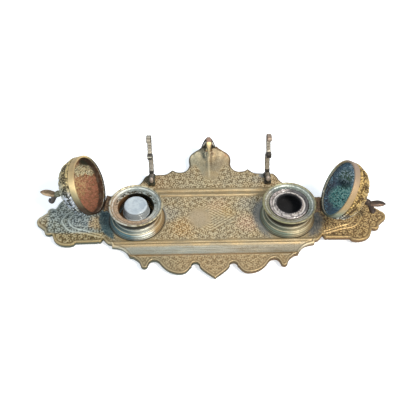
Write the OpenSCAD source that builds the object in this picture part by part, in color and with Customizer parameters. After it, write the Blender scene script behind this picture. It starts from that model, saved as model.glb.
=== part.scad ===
// Desk inkstand: a shaped brass tray with two hinged inkwells, two pen rests and four small feet.
// Millimetres, +Z up. The origin is on the table, under the middle of the tray's footprint.

/* [Tray] */
// Width over the tips of the two wings
tray_w = 360; // [330:1:400]
// Distance from the pen trough to the point at the front
apron_w = 27.1; // [22:0.1:36]
// Width of the pen trough and the front ledge together
trough_w = 18; // [14:0.1:24]
// Depth of the pen trough
trough_h = 1.6; // [0.6:0.1:2.2]
// Height of the raised mouldings
ledge_h = 1.2; // [0.6:0.1:2]
// Width of the back rail
rail_w = 10.4; // [9.8:0.1:14]
// Width of the flat strip behind the back rail
strip_w = 21.3; // [18:0.1:30]
// Length of the back lobe behind the straight back edge
lobe_l = 32; // [28:0.5:40]
// Rise of the back lobe at its end
lobe_rise = 10.9; // [4:0.1:14]
// Thickness of the cast plate
plate_t = 4.4; // [3.2:0.1:5.5]

/* [Inkwells] */
// Distance from the middle of the tray to the middle of each inkwell
well_x = 77.3; // [74:0.1:92]
// Outer radius of the rim
rim_r = 27.3; // [26:0.1:32]
// Height of the rim above the tray
rim_h = 22.3; // [20:0.1:30]
// How far the foot ring stands out past the rim
ring_out = 0.9; // [-1:0.1:3]
// Height of the stepped foot ring
ring_h = 8.4; // [7:0.1:11]
// How far the neck of the bowl lies inside the rim
neck_in = 4.7; // [3.6:0.1:6]
// Thickness of the bowl's wall at its neck
bowl_wall = 3.4; // [3:0.1:4.4]
// Thickness of the bowl's floor
floor_t = 3.4; // [3:0.1:5]

/* [Lids] */
// How far the lid stands out past the rim
lid_over = 2; // [1:0.1:2.6]
// Height of the plain band at the edge of the lid
band_h = 6.5; // [4:0.1:9]
// How far the band stands out round the foot of the dome
band_out = 0.5; // [0.2:0.1:0.9]
// Height of the dome above the band
dome_h = 20; // [16:0.1:30]
// Thickness of the lid's wall
lid_wall = 1.5; // [1:0.1:2.2]
// Angle that the left lid opens through
left_open = 113; // [95:1:120]
// Angle that the right lid opens through
right_open = 115; // [95:1:120]
// Gap between the lid and the rim when shut
lid_gap = 0.3; // [0.2:0.1:0.8]
// Direction in which the left hinge points, measured from straight out
left_turn = -6.4; // [-15:0.2:15]
// Direction in which the right hinge points, measured from straight out
right_turn = -5.4; // [-15:0.2:15]

/* [Hinges] */
// Outer radius of the knuckles
knuckle_r = 1.5; // [1.3:0.1:2]
// Radius of the hinge pin
pin_r = 0.8; // [0.5:0.1:0.9]
// Depth of the hinge pins below the rim
hinge_drop = 1.2; // [1:0.1:1.8]
// Length of each of the three knuckles
knuckle_l = 6; // [4:0.1:8]
// Radial clearance of the pin
pin_fit = 0.05; // [0.02:0.01:0.1]
// Gap between neighbouring knuckles
knuckle_gap = 0.3; // [0.2:0.05:0.5]
// Thickness of the hinge leaves
leaf_t = 0.7; // [0.6:0.1:1.2]

/* [Finials] */
// Length of each lid finial above the dome
finial_l = 27; // [20:0.1:30]
// Sideways spread of the longer petal
petal_out = 9.8; // [6:0.1:12]
// Sideways spread of the shorter petal
short_petal_out = 5.5; // [4:0.1:8]
// Lean of the left finial towards its hinge
left_lean = 11; // [-10:1:16]
// Lean of the right finial towards its hinge
right_lean = 15; // [-10:1:16]
// Height of the leaf on the back lobe above the tray
leaf_h = 29; // [24:0.5:40]
// Width of that leaf
leaf_w = 16; // [12:0.1:20]
// Sideways place of that leaf
leaf_x = -1.3; // [-3:0.1:3]

/* [Ink] */
// Outer radius of the ink pot in the left inkwell
pot_r = 13.6; // [13:0.1:15.5]
// Height of the ink pot without its cap
pot_h = 12.6; // [10:0.1:14]
// Height of the cap that covers the pot
cap_h = 8.6; // [7:0.1:12]
// Radius of the top of the cap
cap_r = 12.6; // [11.5:0.1:13.2]
// Wall of the ink pot and its cap
pot_wall = 1.6; // [1.2:0.1:2]
// Width of the lip of the glass liner in the right inkwell
lip_w = 6.6; // [5.6:0.1:9]
// Wall of the glass liner
glass_t = 1.8; // [1.4:0.1:2.4]
// Clearance round what lifts out
lift_fit = 0.4; // [0.3:0.05:0.8]

/* [Pen rests] */
// Distance from the middle of the tray to each pen rest
rest_x = 63.5; // [60:0.1:66]
// How much nearer to the middle the right pen rest stands
rest_in = 2; // [0:0.1:2.5]
// Thickness of each pen rest
rest_t = 4.8; // [4:0.1:7]
// Length of the foot of each pen rest
rest_l = 15.5; // [14.5:0.1:19]
// Height of each pen rest above the tray
rest_h = 67; // [62:0.5:85]
// Height of the upper seat for a pen
seat_h = 38; // [34:0.5:44]
// Width of the metal in the scrolls of a rest
scroll_w = 3.6; // [2.8:0.1:4.4]
// Lean of the right pen rest towards the middle
rest_lean = 3; // [0:0.5:5]

/* [Feet and screws] */
// Height of the feet
foot_h = 5; // [4.6:0.1:9]
// Radius of the feet
foot_r = 6.4; // [5:0.1:8]
// Diameter of the inkwell screws
well_screw_d = 4; // [3:0.1:5]
// Diameter of the pen rest screws
rest_screw_d = 3; // [2.5:0.1:3.5]
// Radial clearance of screws in their holes
screw_fit = 0.15; // [0.1:0.05:0.3]

/* [Hidden] */
$fn = 72;
left = -1;
right = 1;
eps = 0.05;                              // seam between pieces soldered to each other
fit = 0.1;                               // clearance of tenons, stubs and spigots
deck = foot_h + plate_t;                 // top of the tray

// Inkwells, lids and hinges
ring_r = rim_r + ring_out;
neck_r = rim_r - neck_in;
bore_r = neck_r - bowl_wall;             // well that holds the ink
spigot_r = neck_r - 2.2;                 // part of the bowl inside the foot ring
dish_r = rim_r - 1.6;                    // outer edge of the dished top of the bowl
dish_h = 2.6;
mouth_r = bore_r - lip_w;                // mouth of the glass liner
lid_r = rim_r + lid_over;
lid_h = band_h + dome_h;
hinge_gap = 0.3;                         // between the knuckles and what they turn past
hinge_r = rim_r + eps + leaf_t + hinge_gap + knuckle_r;   // hinge pin from the inkwell's axis
pin_z = rim_h - hinge_drop;              // hinge pin above the tray
knuckle_step = knuckle_l + knuckle_gap;
hinge_w = 3 * knuckle_l + 2 * knuckle_gap;
pot_z = floor_t + 0.1;                   // underside of the pot
stud_r = 2.2;                            // stud of a finial through the dome
stud_nut_h = 1.8;
// Lines that run from side to side, measured from the line through the inkwells
ledge_y = -ring_r - 0.2;                 // back of the front ledge
trough_y = ledge_y - trough_w;           // front of the pen trough
front_d = apron_w - trough_y;            // point at the front
apron_drop = 1.2;                        // fall of the apron at the front point
rail_y = ring_r + 1.4;                   // front of the back rail
back_d = rail_y + rail_w + strip_w;      // straight back edge
lobe_end = back_d + lobe_l;
sweep_start = back_d + 13;               // where the back lobe begins to rise
sweep_l = lobe_end - sweep_start;
sweep_r = (sweep_l * sweep_l + lobe_rise * lobe_rise) / (2 * lobe_rise);
well_y = (front_d - lobe_end) / 2;       // line through the inkwells, from the middle of the footprint

// Outline of the tray
wing_tip = tray_w / 2;
wing_mid = -1.2;                         // the wings are symmetric about this line
wing_root = well_x + ring_r + 5.3;       // notch where a wing meets the body
wing_half = ring_r - 5.2;                // half width of a wing at its root
shoulder = ring_r + 8.4;                 // half width of the body beside an inkwell
corner_x = rest_x + 3;                   // end of the straight back edge

// What stands on the tray or under it
rest_back = back_d - 1.3;
rest_front = rest_back - rest_l;
rest_foot_h = 3;
screw_reach = 2.4;                       // how far the screws reach up into a pen rest
rest_screw_at = [rest_front + 4.2, rest_back - 3.5];
function rest_at(side) = side * rest_x - (side == right ? rest_in : 0);
foot_at = [[rest_x - 1.5, 32.5 - front_d], [50, back_d - 13]];   // front pair, back pair
stub_r = 2;                              // stub of a foot, pressed into the tray
stub_h = plate_t - 1.6;
tenon = [9, 2.6];                        // tenon of the back leaf: width, thickness
tenon_y = lobe_end - 2.6;

// Points along a circular arc
function arc(c, r, a0, a1, n = 10) =
    [for (i = [0 : n]) let (a = a0 + (a1 - a0) * i / n) c + r * [cos(a), sin(a)]];

// Points along a cubic curve from a to d, without the last one
function curve(a, b, c, d, n = 7) =
    [for (i = [0 : n - 1]) let (t = i / n, u = 1 - t)
        u * u * u * a + 3 * u * u * t * b + 3 * u * t * t * c + t * t * t * d];

// Lower edge of the right wing, from its root to its tip, measured from the tip and the wing's middle
function wing_edge() = let (k = wing_root - wing_tip, h = -wing_half) concat(
    [[k, h], [k + 1.4, h - 3.2]],
    arc([k + 3.2, h - 2.4], 2, 210, 320, 5),
    [[k + 6, h - 4.2], [-42, h - 4.6], [-40.8, h - 6.8]],
    curve([-40.8, h - 6.8], [-38, h - 8.6], [-32, h - 8.6], [-28, h - 7.2]),
    curve([-28, h - 7.2], [-22, h - 5], [-18.8, h], [-18.7, h + 5]),
    arc([-14.2, -12.4], 4.9, 232, 372, 8),
    arc([-7.2, 0], 7.2, -62, 0, 8));

function mirror_y(pts) = [for (i = [len(pts) - 1 : -1 : 0]) [pts[i][0], -pts[i][1]]];
function move(pts, by) = [for (p = pts) p + by];

// Right half of the front edge, from the point in the middle to the wing
function front_edge() = let (f = -front_d, k = wing_root, s = -shoulder) concat(
    curve([0, f], [5, f + 4.5], [10.5, f + 7.5], [14.8, f + 13.4]),
    arc([18.6, f + 14.3], 3.9, 190, -10),
    curve([23.6, f + 12.9], [26, f + 8.5], [29, f + 5.9], [33.5, f + 5.9]),
    curve([33.5, f + 5.9], [42, f + 5.9], [48.5, f + 11], [52.5, f + 17]),
    curve([52.5, f + 17], [54.5, f + 20.5], [57, f + 21.7], [59.5, f + 21.6]),
    curve([59.5, f + 21.6], [62.5, f + 21.5], [63.5, f + 19.5], [64.8, f + 16.3]),
    arc([68.3, f + 16.3], 3.5, 180, 355),
    curve([71.8, f + 16], [72.8, f + 19], [73.5, f + 21], [76.5, f + 22.9]),
    [[79.3, f + 25.2], [83.2, f + 26.1]],
    curve([83.2, f + 26.1], [85.5, f + 31], [k - 22.8, s - 2], [k - 17.6, s]),
    curve([k - 17.6, s], [k - 13, s + 1.4], [k - 10, s + 1], [k - 9.2, s + 2]),
    [[k - 9, s + 4.8], [k - 5.4, s + 6], [k - 3, s + 8.4]]);

// Right half of the back edge, from the wing to the middle of the lobe
function back_edge() = let (b = back_d, k = wing_root, s = shoulder, x = corner_x, e = lobe_end) concat(
    [[k - 3, s - 10.8], [k - 5.4, s - 8.4], [k - 9, s - 7.2]],
    curve([k - 9.2, s - 4.4], [k - 16, s - 3.1], [x + 19, s + 0.4], [x + 15.5, s + 6.9]),
    curve([x + 15.5, s + 6.9], [x + 11, b - 15], [x + 9, b - 12], [x + 7.5, b - 9.3]),
    curve([x + 7.5, b - 9.3], [x + 6, b - 5], [x + 4, b - 0.5], [x, b]),
    curve([51, b], [47, b + 0.2], [45, b + 2.7], [43.6, b + 4.7]),
    curve([41.3, b + 6.7], [39, b + 4.8], [38, b + 3.4], [34, b + 3]),
    curve([34, b + 3], [29, b + 2.7], [26, b + 4.7], [24.3, b + 8.2]),
    curve([24.3, b + 8.2], [22.5, b + 12.2], [22.2, b + 14.5], [23, b + 18]),
    curve([23, b + 18], [24, e - 9.5], [22, e - 6], [17.5, e - 4]),
    curve([17.5, e - 4], [13, e - 2.2], [10, e - 1.2], [8.5, e]),
    [[8.5, e]]);

function half_edge() = let (w = wing_edge(), at = [wing_tip, wing_mid]) concat(
    front_edge(), move(w, at), move(mirror_y([for (i = [0 : len(w) - 2]) w[i]]), at), back_edge());

function outline() = let (h = half_edge(), n = len(h)) concat(
    h, [for (i = [n - 1 : -1 : 1]) [-h[i][0], h[i][1]]]);

// Height of the top of the swept-up lobe above the tray
function sweep(y) = sweep_r - sqrt(sweep_r * sweep_r - (y - sweep_start) * (y - sweep_start));

// Cross-section of the tray in the YZ plane, heights measured from the tray's top
function section() = concat(
    [[-front_d - 1, -apron_drop], [trough_y - 3, 0], [trough_y - 0.4, 0.2], [trough_y, -0.3]],
    curve([trough_y, -0.3], [trough_y + 4, -trough_h], [trough_y + 9, -trough_h], [ledge_y - 5.2, -0.2]),
    [[ledge_y - 5.2, ledge_h * 0.4], [ledge_y - 4, ledge_h * 0.55]],
    curve([ledge_y - 3.6, ledge_h * 0.6], [ledge_y - 3.2, ledge_h], [ledge_y - 1.2, ledge_h + 0.2],
        [ledge_y - 0.5, ledge_h * 0.8], 5),
    [[ledge_y, 0], [rail_y, 0], [rail_y + 0.4, ledge_h], [rail_y + 1.8, ledge_h],
        [rail_y + 2.2, ledge_h * 0.5]],
    curve([rail_y + 2.2, ledge_h * 0.5], [rail_y + 4.5, 0.1], [rail_y + 6, 0.1],
        [rail_y + 7.4, ledge_h * 0.6], 5),
    curve([rail_y + 7.4, ledge_h * 0.6], [rail_y + 8, ledge_h], [rail_y + 9.6, ledge_h],
        [rail_y + rail_w, 0], 5),
    [[rail_y + rail_w, 0]],
    [for (i = [0 : 8]) let (y = sweep_start + sweep_l * i / 8) [y, sweep(y)]],
    [[lobe_end + 1, lobe_rise], [lobe_end + 1, lobe_rise - plate_t]],
    [for (i = [8 : -1 : 0]) let (y = sweep_start + sweep_l * i / 8) [y, sweep(y) - plate_t]],
    [[-front_d - 1, -plate_t]]);

// Extrudes a YZ outline along X, centred on x = 0
module across(width) {
    rotate([90, 0, 90]) linear_extrude(width, center = true) children();
}

module tray() {
    bore = well_screw_d / 2 + screw_fit;
    middle = [2 * wing_root - 4, 4 * front_d, 4 * plate_t];   // covers all but the wings
    color([0.74, 0.62, 0.4]) translate([0, well_y, 0]) difference() {
        union() {
            intersection() {
                translate([0, 0, foot_h - 1]) linear_extrude(plate_t + 2 * lobe_rise) polygon(outline());
                translate([0, 0, deck]) across(middle[0]) polygon(section());
            }
            difference() {
                translate([0, 0, foot_h]) linear_extrude(plate_t) polygon(outline());
                translate([0, 0, deck]) cube(middle, center = true);
            }
        }
        for (s = [left, right]) {
            translate([s * well_x, 0, 0]) cylinder(r = bore, h = 2 * deck);
            for (y = rest_screw_at)
                translate([rest_at(s), y, 0]) cylinder(r = rest_screw_d / 2 + screw_fit, h = 2 * deck);
            for (p = foot_at)
                translate([s * p[0], p[1], foot_h - 1]) cylinder(r = stub_r + fit / 2, h = stub_h + fit + 1);
        }
        translate([leaf_x - tenon[0] / 2 - fit, tenon_y - tenon[1] / 2 - fit, 0])
            cube([tenon[0] + 2 * fit, tenon[1] + 2 * fit, 3 * deck]);
    }
}

// A band of metal of even width along a path in the YZ plane
function dir(p, i) = let (a = p[max(i - 1, 0)], b = p[min(i + 1, len(p) - 1)], d = b - a) d / norm(d);
function strip(p, w0, w1) = concat(
    [for (i = [0 : len(p) - 1]) let (d = dir(p, i), w = w0 + (w1 - w0) * i / (len(p) - 1))
        p[i] + w / 2 * [-d[1], d[0]]],
    [for (i = [len(p) - 1 : -1 : 0]) let (d = dir(p, i), w = w0 + (w1 - w0) * i / (len(p) - 1))
        p[i] - w / 2 * [-d[1], d[0]]]);

// Leaf that stands at the end of the back lobe and curls forward over it
module back_leaf() {
    y0 = tenon_y;
    z0 = lobe_rise + 0.3;                             // underside of the leaf
    top = leaf_h;
    hw = leaf_w / 2;
    rear = concat(curve([y0, z0], [y0 + 1.5, z0 + 5], [y0 + 1.2, top - 6], [y0 - 1.5, top - 2.6]),
        [[y0 - 1.5, top - 2.6]]);
    front = concat(curve([y0 - 1.5, top - 2.6], [y0 - 4, top - 0.2], [y0 - 9, top - 0.6],
            [y0 - 10.5, top - 6]),
        curve([y0 - 10.5, top - 6], [y0 - 11.8, top - 11], [y0 - 12.6, top - 15], [y0 - 12.4, top - 19]),
        [[y0 - 12.4, top - 19]]);
    through = 4 * lobe_end;                           // long enough to pass through the whole leaf
    color([0.55, 0.42, 0.26]) translate([leaf_x, well_y, deck]) {
        intersection() {
            across(leaf_w) polygon(strip(rear, 3, 2.8));
            rotate([90, 0, 0]) linear_extrude(through, center = true) polygon([
                [-hw, z0 - 1], [hw, z0 - 1], [hw * 0.9, z0 + 3], [hw * 0.66, z0 + 8],
                [hw * 0.3, top - 2], [-hw * 0.3, top - 2], [-hw * 0.66, z0 + 8], [-hw * 0.9, z0 + 3]]);
        }
        intersection() {
            across(leaf_w) polygon(strip(front, 2.8, 1.8));
            rotate([90, 0, 0]) linear_extrude(through, center = true) polygon([
                [-0.8, top - 24], [0.8, top - 24], [hw * 0.24, top - 13], [hw * 0.52, top - 6],
                [hw * 0.3, top + 2], [-hw * 0.3, top + 2], [-hw * 0.52, top - 6],
                [-hw * 0.24, top - 13]]);
        }
        translate([-tenon[0] / 2, y0 - tenon[1] / 2, sweep(tenon_y) - plate_t - 0.8])
            cube([tenon[0], tenon[1], z0 - sweep(tenon_y) + plate_t + 2]);
    }
}

// Places children in the frame of one inkwell: its axis is Z, its hinge points along +X
module at_well(side) {
    turn = side == left ? 180 + left_turn : right_turn;
    translate([side * well_x, well_y, deck]) rotate([0, 0, turn]) children();
}

// Places children drawn for a shut lid where they are with the lid open
module opened(side) {
    at_well(side) translate([hinge_r, 0, pin_z]) rotate([0, side == left ? left_open : right_open, 0])
        translate([-hinge_r, 0, -pin_z]) children();
}

module foot_ring(side) {
    color([0.7, 0.62, 0.45]) at_well(side) rotate_extrude() polygon(concat(
        [[spigot_r + fit, 0], [ring_r, 0], [ring_r, 1]],
        curve([ring_r - 0.7, 1.5], [ring_r - 1.2, 2.4], [ring_r - 1.4, 3.6], [ring_r - 2.4, 4.4]),
        [[ring_r - 2.4, 4.9]],
        arc([ring_r - 2.9, 5.9], 0.9, -80, 80, 8),
        [[ring_r - 3.6, 7], [neck_r + 1, ring_h - 0.6], [neck_r + 0.7, ring_h],
            [spigot_r + fit, ring_h]]));
}

module bowl(side) {
    color([0.72, 0.64, 0.47]) at_well(side) difference() {
        rotate_extrude() polygon(concat(
            [[0, 0], [spigot_r, 0], [spigot_r, ring_h], [neck_r + 0.4, ring_h]],
            curve([neck_r + 0.2, ring_h + 0.8], [neck_r, ring_h + 3.5], [neck_r - 0.4, rim_h - 7],
                [rim_r - 1.6, rim_h - 3]),
            [[rim_r - 0.5, rim_h - 2.2], [rim_r, rim_h - 1.6], [rim_r, rim_h - 0.4],
                [rim_r - 0.4, rim_h], [dish_r + 0.4, rim_h]],
            curve([dish_r, rim_h - 0.3], [dish_r - 0.6, rim_h - 1.8], [dish_r - 2.5, rim_h - dish_h + 0.2],
                [bore_r, rim_h - dish_h]),
            [[bore_r, rim_h - dish_h], [bore_r, floor_t], [0, floor_t]]));
        translate([0, 0, -1]) cylinder(r = well_screw_d / 2 + screw_fit, h = floor_t + 2);
        translate([0, 0, floor_t - screw_head_h - fit])
            cylinder(r = well_screw_d + screw_fit, h = 2 * floor_t);
    }
}

screw_head_h = 1.7;
washer_t = 0.8;
nut_h = 2.4;

module bowl_screw(side) {
    tip = washer_t + nut_h + 0.4;                     // the screw ends just below its nut
    color([0.6, 0.55, 0.42]) at_well(side) difference() {
        union() {
            translate([0, 0, -plate_t - tip]) cylinder(d = well_screw_d, h = plate_t + tip + floor_t - 1);
            translate([0, 0, floor_t - screw_head_h]) cylinder(r = well_screw_d, h = screw_head_h - fit);
        }
        translate([-10, -0.5, floor_t - 0.8]) cube([20, 1, 2]);
    }
}

module bowl_washer(side) {
    color([0.66, 0.58, 0.4]) at_well(side) translate([0, 0, -plate_t - washer_t]) difference() {
        cylinder(r = well_screw_d * 1.2, h = washer_t);
        translate([0, 0, -1]) cylinder(r = well_screw_d / 2 + screw_fit, h = washer_t + 2);
    }
}

module bowl_nut(side) {
    color([0.62, 0.54, 0.36]) at_well(side) translate([0, 0, -plate_t - washer_t - nut_h]) difference() {
        cylinder(r = well_screw_d, h = nut_h, $fn = 6);
        translate([0, 0, -1]) cylinder(r = well_screw_d / 2 + eps, h = nut_h + 2);
    }
}

// A piece of tube wall round the inkwell's axis, as wide as asked, behind the hinge
module curved_leaf(r, z, h, w) {
    intersection() {
        translate([0, 0, z]) difference() {
            cylinder(r = r + leaf_t, h = h);
            translate([0, 0, -1]) cylinder(r = r, h = h + 2);
        }
        translate([0, -w / 2, 0]) cube([2 * r, w, 2 * rim_h + 10]);
    }
}

// Cuts the bore for the hinge pin
module pin_hole() {
    difference() {
        children();
        translate([hinge_r, 0, pin_z]) rotate([90, 0, 0])
            cylinder(r = pin_r + pin_fit, h = 2 * hinge_w, center = true);
    }
}

module knuckle() {
    translate([hinge_r, 0, pin_z]) rotate([90, 0, 0]) cylinder(r = knuckle_r, h = knuckle_l, center = true);
}

module bowl_hinge(side) {
    seat = rim_r + eps;
    leaf_top = rim_h - 0.5;
    leaf_l = 3.4;
    arm_h = 1.4;
    color([0.72, 0.45, 0.28]) at_well(side) pin_hole() {
        curved_leaf(seat, leaf_top - leaf_l, leaf_l, hinge_w);
        for (y = [-knuckle_step, knuckle_step]) translate([0, y, 0]) knuckle();
        difference() {
            for (y = [-knuckle_step, knuckle_step])
                translate([seat - 2, y - knuckle_l / 2, leaf_top - arm_h])
                    cube([hinge_r - seat + 2, knuckle_l, arm_h]);
            cylinder(r = seat, h = 2 * rim_h);
        }
    }
}

module lid_hinge(side) {
    seat = lid_r + eps;
    low = max(rim_h + lid_gap + 0.3, pin_z + knuckle_r + knuckle_gap);
    leaf_l = 4.4;
    arm = max(seat + leaf_t, hinge_r + knuckle_r * 0.6);
    color([0.72, 0.45, 0.28]) opened(side) pin_hole() {
        curved_leaf(seat, low, leaf_l, hinge_w);
        knuckle();
        translate([seat, -knuckle_l / 2, pin_z]) cube([arm - seat, knuckle_l, low + 0.6 - pin_z]);
    }
}

module hinge_pin(side) {
    color([0.5, 0.42, 0.3]) at_well(side) translate([hinge_r, 0, pin_z]) rotate([90, 0, 0])
        cylinder(r = pin_r, h = hinge_w + 0.6, center = true);
}

// Half section of the dome's outer or inner face; inset is the distance inside the outer face
function dome(inset) = let (r = lid_r - band_out - inset, h = dome_h - inset) concat(
    [[r, band_h]],
    [for (i = [1 : 16]) let (a = 90 * i / 16) [r * pow(cos(a), 0.75), band_h + h * sin(a)]]);

module lid(side) {
    inner = dome(lid_wall);
    color([0.74, 0.63, 0.42]) opened(side) difference() {
        translate([0, 0, rim_h + lid_gap]) rotate_extrude() polygon(concat(
            [[lid_r - 0.2, 0], [lid_r, 0.2], [lid_r, band_h - 0.8], [lid_r - band_out, band_h - 0.3]],
            dome(0),
            [for (i = [len(inner) - 1 : -1 : 0]) inner[i]], [[lid_r - band_out - lid_wall, 0]]));
        translate([0, 0, rim_h + band_h]) cylinder(r = stud_r + fit / 2, h = 2 * dome_h);
        // nick that clears the knuckles as the lid turns
        translate([hinge_r, 0, pin_z]) rotate([90, 0, 0])
            cylinder(r = knuckle_r + hinge_gap, h = hinge_w + 2 * knuckle_gap, center = true);
    }
}

// A curved petal in the XZ plane: from the fork to its tip, swung to one side
module petal(out, long, wide) {
    path = concat(curve([0, 0], [out * 0.35, long * 0.25], [out * 0.6, long * 0.55], [out, long]),
        [[out, long]]);
    intersection() {
        rotate([90, 0, 0]) linear_extrude(wide, center = true) polygon(strip(path, 3.6, 1.8));
        rotate([90, 0, 90]) linear_extrude(4 * abs(out), center = true) polygon([
            [-wide * 0.3, -2], [wide * 0.3, -2], [wide / 2, long * 0.45], [wide * 0.3, long * 0.85],
            [0.4, long + 2], [-0.4, long + 2], [-wide * 0.3, long * 0.85], [-wide / 2, long * 0.45]]);
    }
}

module finial(side) {
    lean = side == left ? left_lean : right_lean;
    fork = finial_l * 0.64;                           // where the stem divides into two petals
    stud_l = lid_wall + stud_nut_h + 0.8;
    color([0.36, 0.27, 0.2]) opened(side) translate([0, 0, rim_h + lid_gap + lid_h]) {
        translate([0, 0, -stud_l]) cylinder(r = stud_r, h = stud_l + 1);
        rotate_extrude() polygon([[0, eps], [4.8, eps], [4.6, 1.2], [0, 1.6]]);
        translate([0, 0, 1]) rotate([0, lean, 0]) translate([0, 0, -1]) {
            rotate_extrude() polygon(concat([[0, 0.8], [3.2, 1.2]],
                curve([3.6, 1.8], [2, 4], [1.8, 5], [3.4, fork * 0.62], 6),
                [[3.6, fork * 0.72], [2.6, fork * 0.9], [2, fork + 1.5], [0, fork + 1.5]]));
            translate([0, 0, fork]) for (out = [-petal_out, short_petal_out]) petal(out, finial_l - fork, 7);
        }
    }
}

// Nut on the stud of a finial, inside the dome
module finial_nut(side) {
    under = rim_h + lid_gap + lid_h - lid_wall - 0.15; // clear of the dome's curve
    color([0.45, 0.36, 0.24]) opened(side) translate([0, 0, under - stud_nut_h]) difference() {
        cylinder(r = 2 * stud_r, h = stud_nut_h, $fn = 6);
        translate([0, 0, -1]) cylinder(r = stud_r + eps, h = stud_nut_h + 2);
    }
}

module ink_pot() {
    neck = cap_r - pot_wall - lift_fit;
    color([0.86, 0.89, 0.92]) at_well(left) translate([0, 0, pot_z]) rotate_extrude() polygon([
        [0, 0], [pot_r - 0.8, 0], [pot_r, 0.8], [pot_r, pot_h - 3.4], [pot_r - 0.5, pot_h - 2.8],
        [neck, pot_h - 2.8], [neck, pot_h + 2.6], [neck - pot_wall, pot_h + 2.6],
        [neck - pot_wall, pot_h - 2], [pot_r - pot_wall, pot_h - 4.6], [pot_r - pot_wall, pot_wall],
        [0, pot_wall]]);
}

module pot_cap() {
    low = pot_z + pot_h - 2.5;
    top = low + cap_h;
    color([0.88, 0.91, 0.94]) at_well(left) rotate_extrude() polygon(concat(
        [[cap_r - pot_wall, low], [cap_r + 0.5, low], [cap_r + 0.5, low + 1.2]],
        [for (i = [0 : 2]) each [[cap_r + 0.3, low + 1.7 + 1.6 * i], [cap_r + 0.1, low + 2.2 + 1.6 * i],
            [cap_r + 0.4, low + 2.7 + 1.6 * i]]],
        arc([cap_r - 1.2, top - 1.2], 1.2, 0, 90, 6),
        [[cap_r - 3, top], [cap_r - 3.4, top - 0.3], [0, top - 0.3], [0, top - pot_wall - 0.6],
            [cap_r - pot_wall, top - pot_wall - 0.6]]));
}

module glass_liner() {
    r = bore_r - lift_fit;
    top = rim_h - 1.6;
    seat = rim_h - dish_h + 0.25;                     // underside of the flange on the bowl's dish
    color([0.55, 0.58, 0.58]) at_well(right) rotate_extrude() polygon(concat(
        [[0, floor_t + 0.8], [r - 1.5, floor_t + 0.8], [r, floor_t + 2.3], [r, seat],
            [bore_r + 1, seat + 0.1], [bore_r + 1.4, seat + 0.6], [bore_r + 1.3, top - 0.3],
            [bore_r + 0.6, top], [bore_r - 1, top], [bore_r - 1.8, top - 0.7], [mouth_r + 2.6, top - 0.9]],
        arc([mouth_r + 1.2, top - 1.1], 1.2, 80, 270, 8),
        [[r - glass_t - 1, top - 2.7], [r - glass_t, top - 4], [r - glass_t, floor_t + 3.4],
            [r - glass_t - 1.4, floor_t + 0.8 + glass_t], [0, floor_t + 0.8 + glass_t]]));
}

// Pen rest, in the YZ plane: two open scrolls, one on the other, each with a lip at its front
function upper_scroll() =
    let (f = rest_front, b = rest_back, m = seat_h, t = rest_h - scroll_w / 2) concat(
    curve([f + 5, t], [f + 13, t - 1], [b + 1, m + 20], [b - 2, m + 13], 8),
    curve([b - 2, m + 13], [b - 4, m + 7], [f + 8, m + 1.5], [f + 4, m + 1.8], 8),
    curve([f + 4, m + 1.8], [f + 1, m + 2], [f, m + 4], [f + 0.6, m + 6.5], 5),
    [[f + 0.6, m + 6.5]]);

function lower_scroll() =
    let (f = rest_front, b = rest_back, m = seat_h, h = rest_foot_h + scroll_w / 2) concat(
    curve([f + 7, m + 1], [b, m - 3], [b + 1, m - 12], [b - 1, 17], 8),
    curve([b - 1, 17], [b - 3, 9], [f + 10, h], [f + 5, h], 8),
    curve([f + 5, h], [f + 2, h], [f + 0.6, h + 1.5], [f + 1.6, h + 4], 5),
    [[f + 1.6, h + 4]]);

module pen_rest(side) {
    lean = side == right ? -rest_lean : 0;
    x = rest_at(side);
    foot_w = rest_t + 3.2;
    web_z = rest_foot_h - 0.4;                        // the scrolls lean from just inside the foot
    color([0.6, 0.56, 0.5]) translate([x, well_y, deck]) difference() {
        union() {
            translate([-foot_w / 2, rest_front, 0]) cube([foot_w, rest_l, rest_foot_h]);
            translate([0, 0, web_z]) rotate([0, lean, 0]) translate([0, 0, -web_z]) across(rest_t) {
                polygon(strip(upper_scroll(), scroll_w * 0.8, scroll_w * 0.8));
                polygon(strip(lower_scroll(), scroll_w * 1.1, scroll_w * 0.8));
                translate([rest_front + 4, web_z]) square([rest_l - 6, scroll_w - 1]);
                translate([rest_front + 5.5, rest_h - scroll_w / 2]) circle(d = scroll_w + 0.8);
            }
        }
        for (y = rest_screw_at)
            translate([0, y, -1]) cylinder(r = rest_screw_d / 2 + eps, h = screw_reach + 1.2);
    }
}

module pen_rest_screws() {
    head_h = 1.6;
    color([0.5, 0.45, 0.36]) for (s = [left, right], y = rest_screw_at)
        translate([rest_at(s), well_y + y, foot_h]) {
            translate([0, 0, -head_h]) cylinder(d = rest_screw_d * 1.8, h = head_h);
            translate([0, 0, -head_h]) cylinder(d = rest_screw_d, h = head_h + plate_t + screw_reach);
        }
}

module foot(side, pair) {
    at = foot_at[pair];
    color([0.6, 0.5, 0.32]) translate([side * at[0], well_y + at[1], 0]) {
        rotate_extrude() polygon(concat([[0, 0], [foot_r - 2, 0]],
            curve([foot_r - 1.2, 0.3], [foot_r, 1], [foot_r + 0.2, foot_h * 0.5],
                [foot_r - 0.6, foot_h * 0.8]),
            [[foot_r - 1, foot_h], [stub_r, foot_h], [stub_r, foot_h + stub_h], [0, foot_h + stub_h]]));
    }
}

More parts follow.
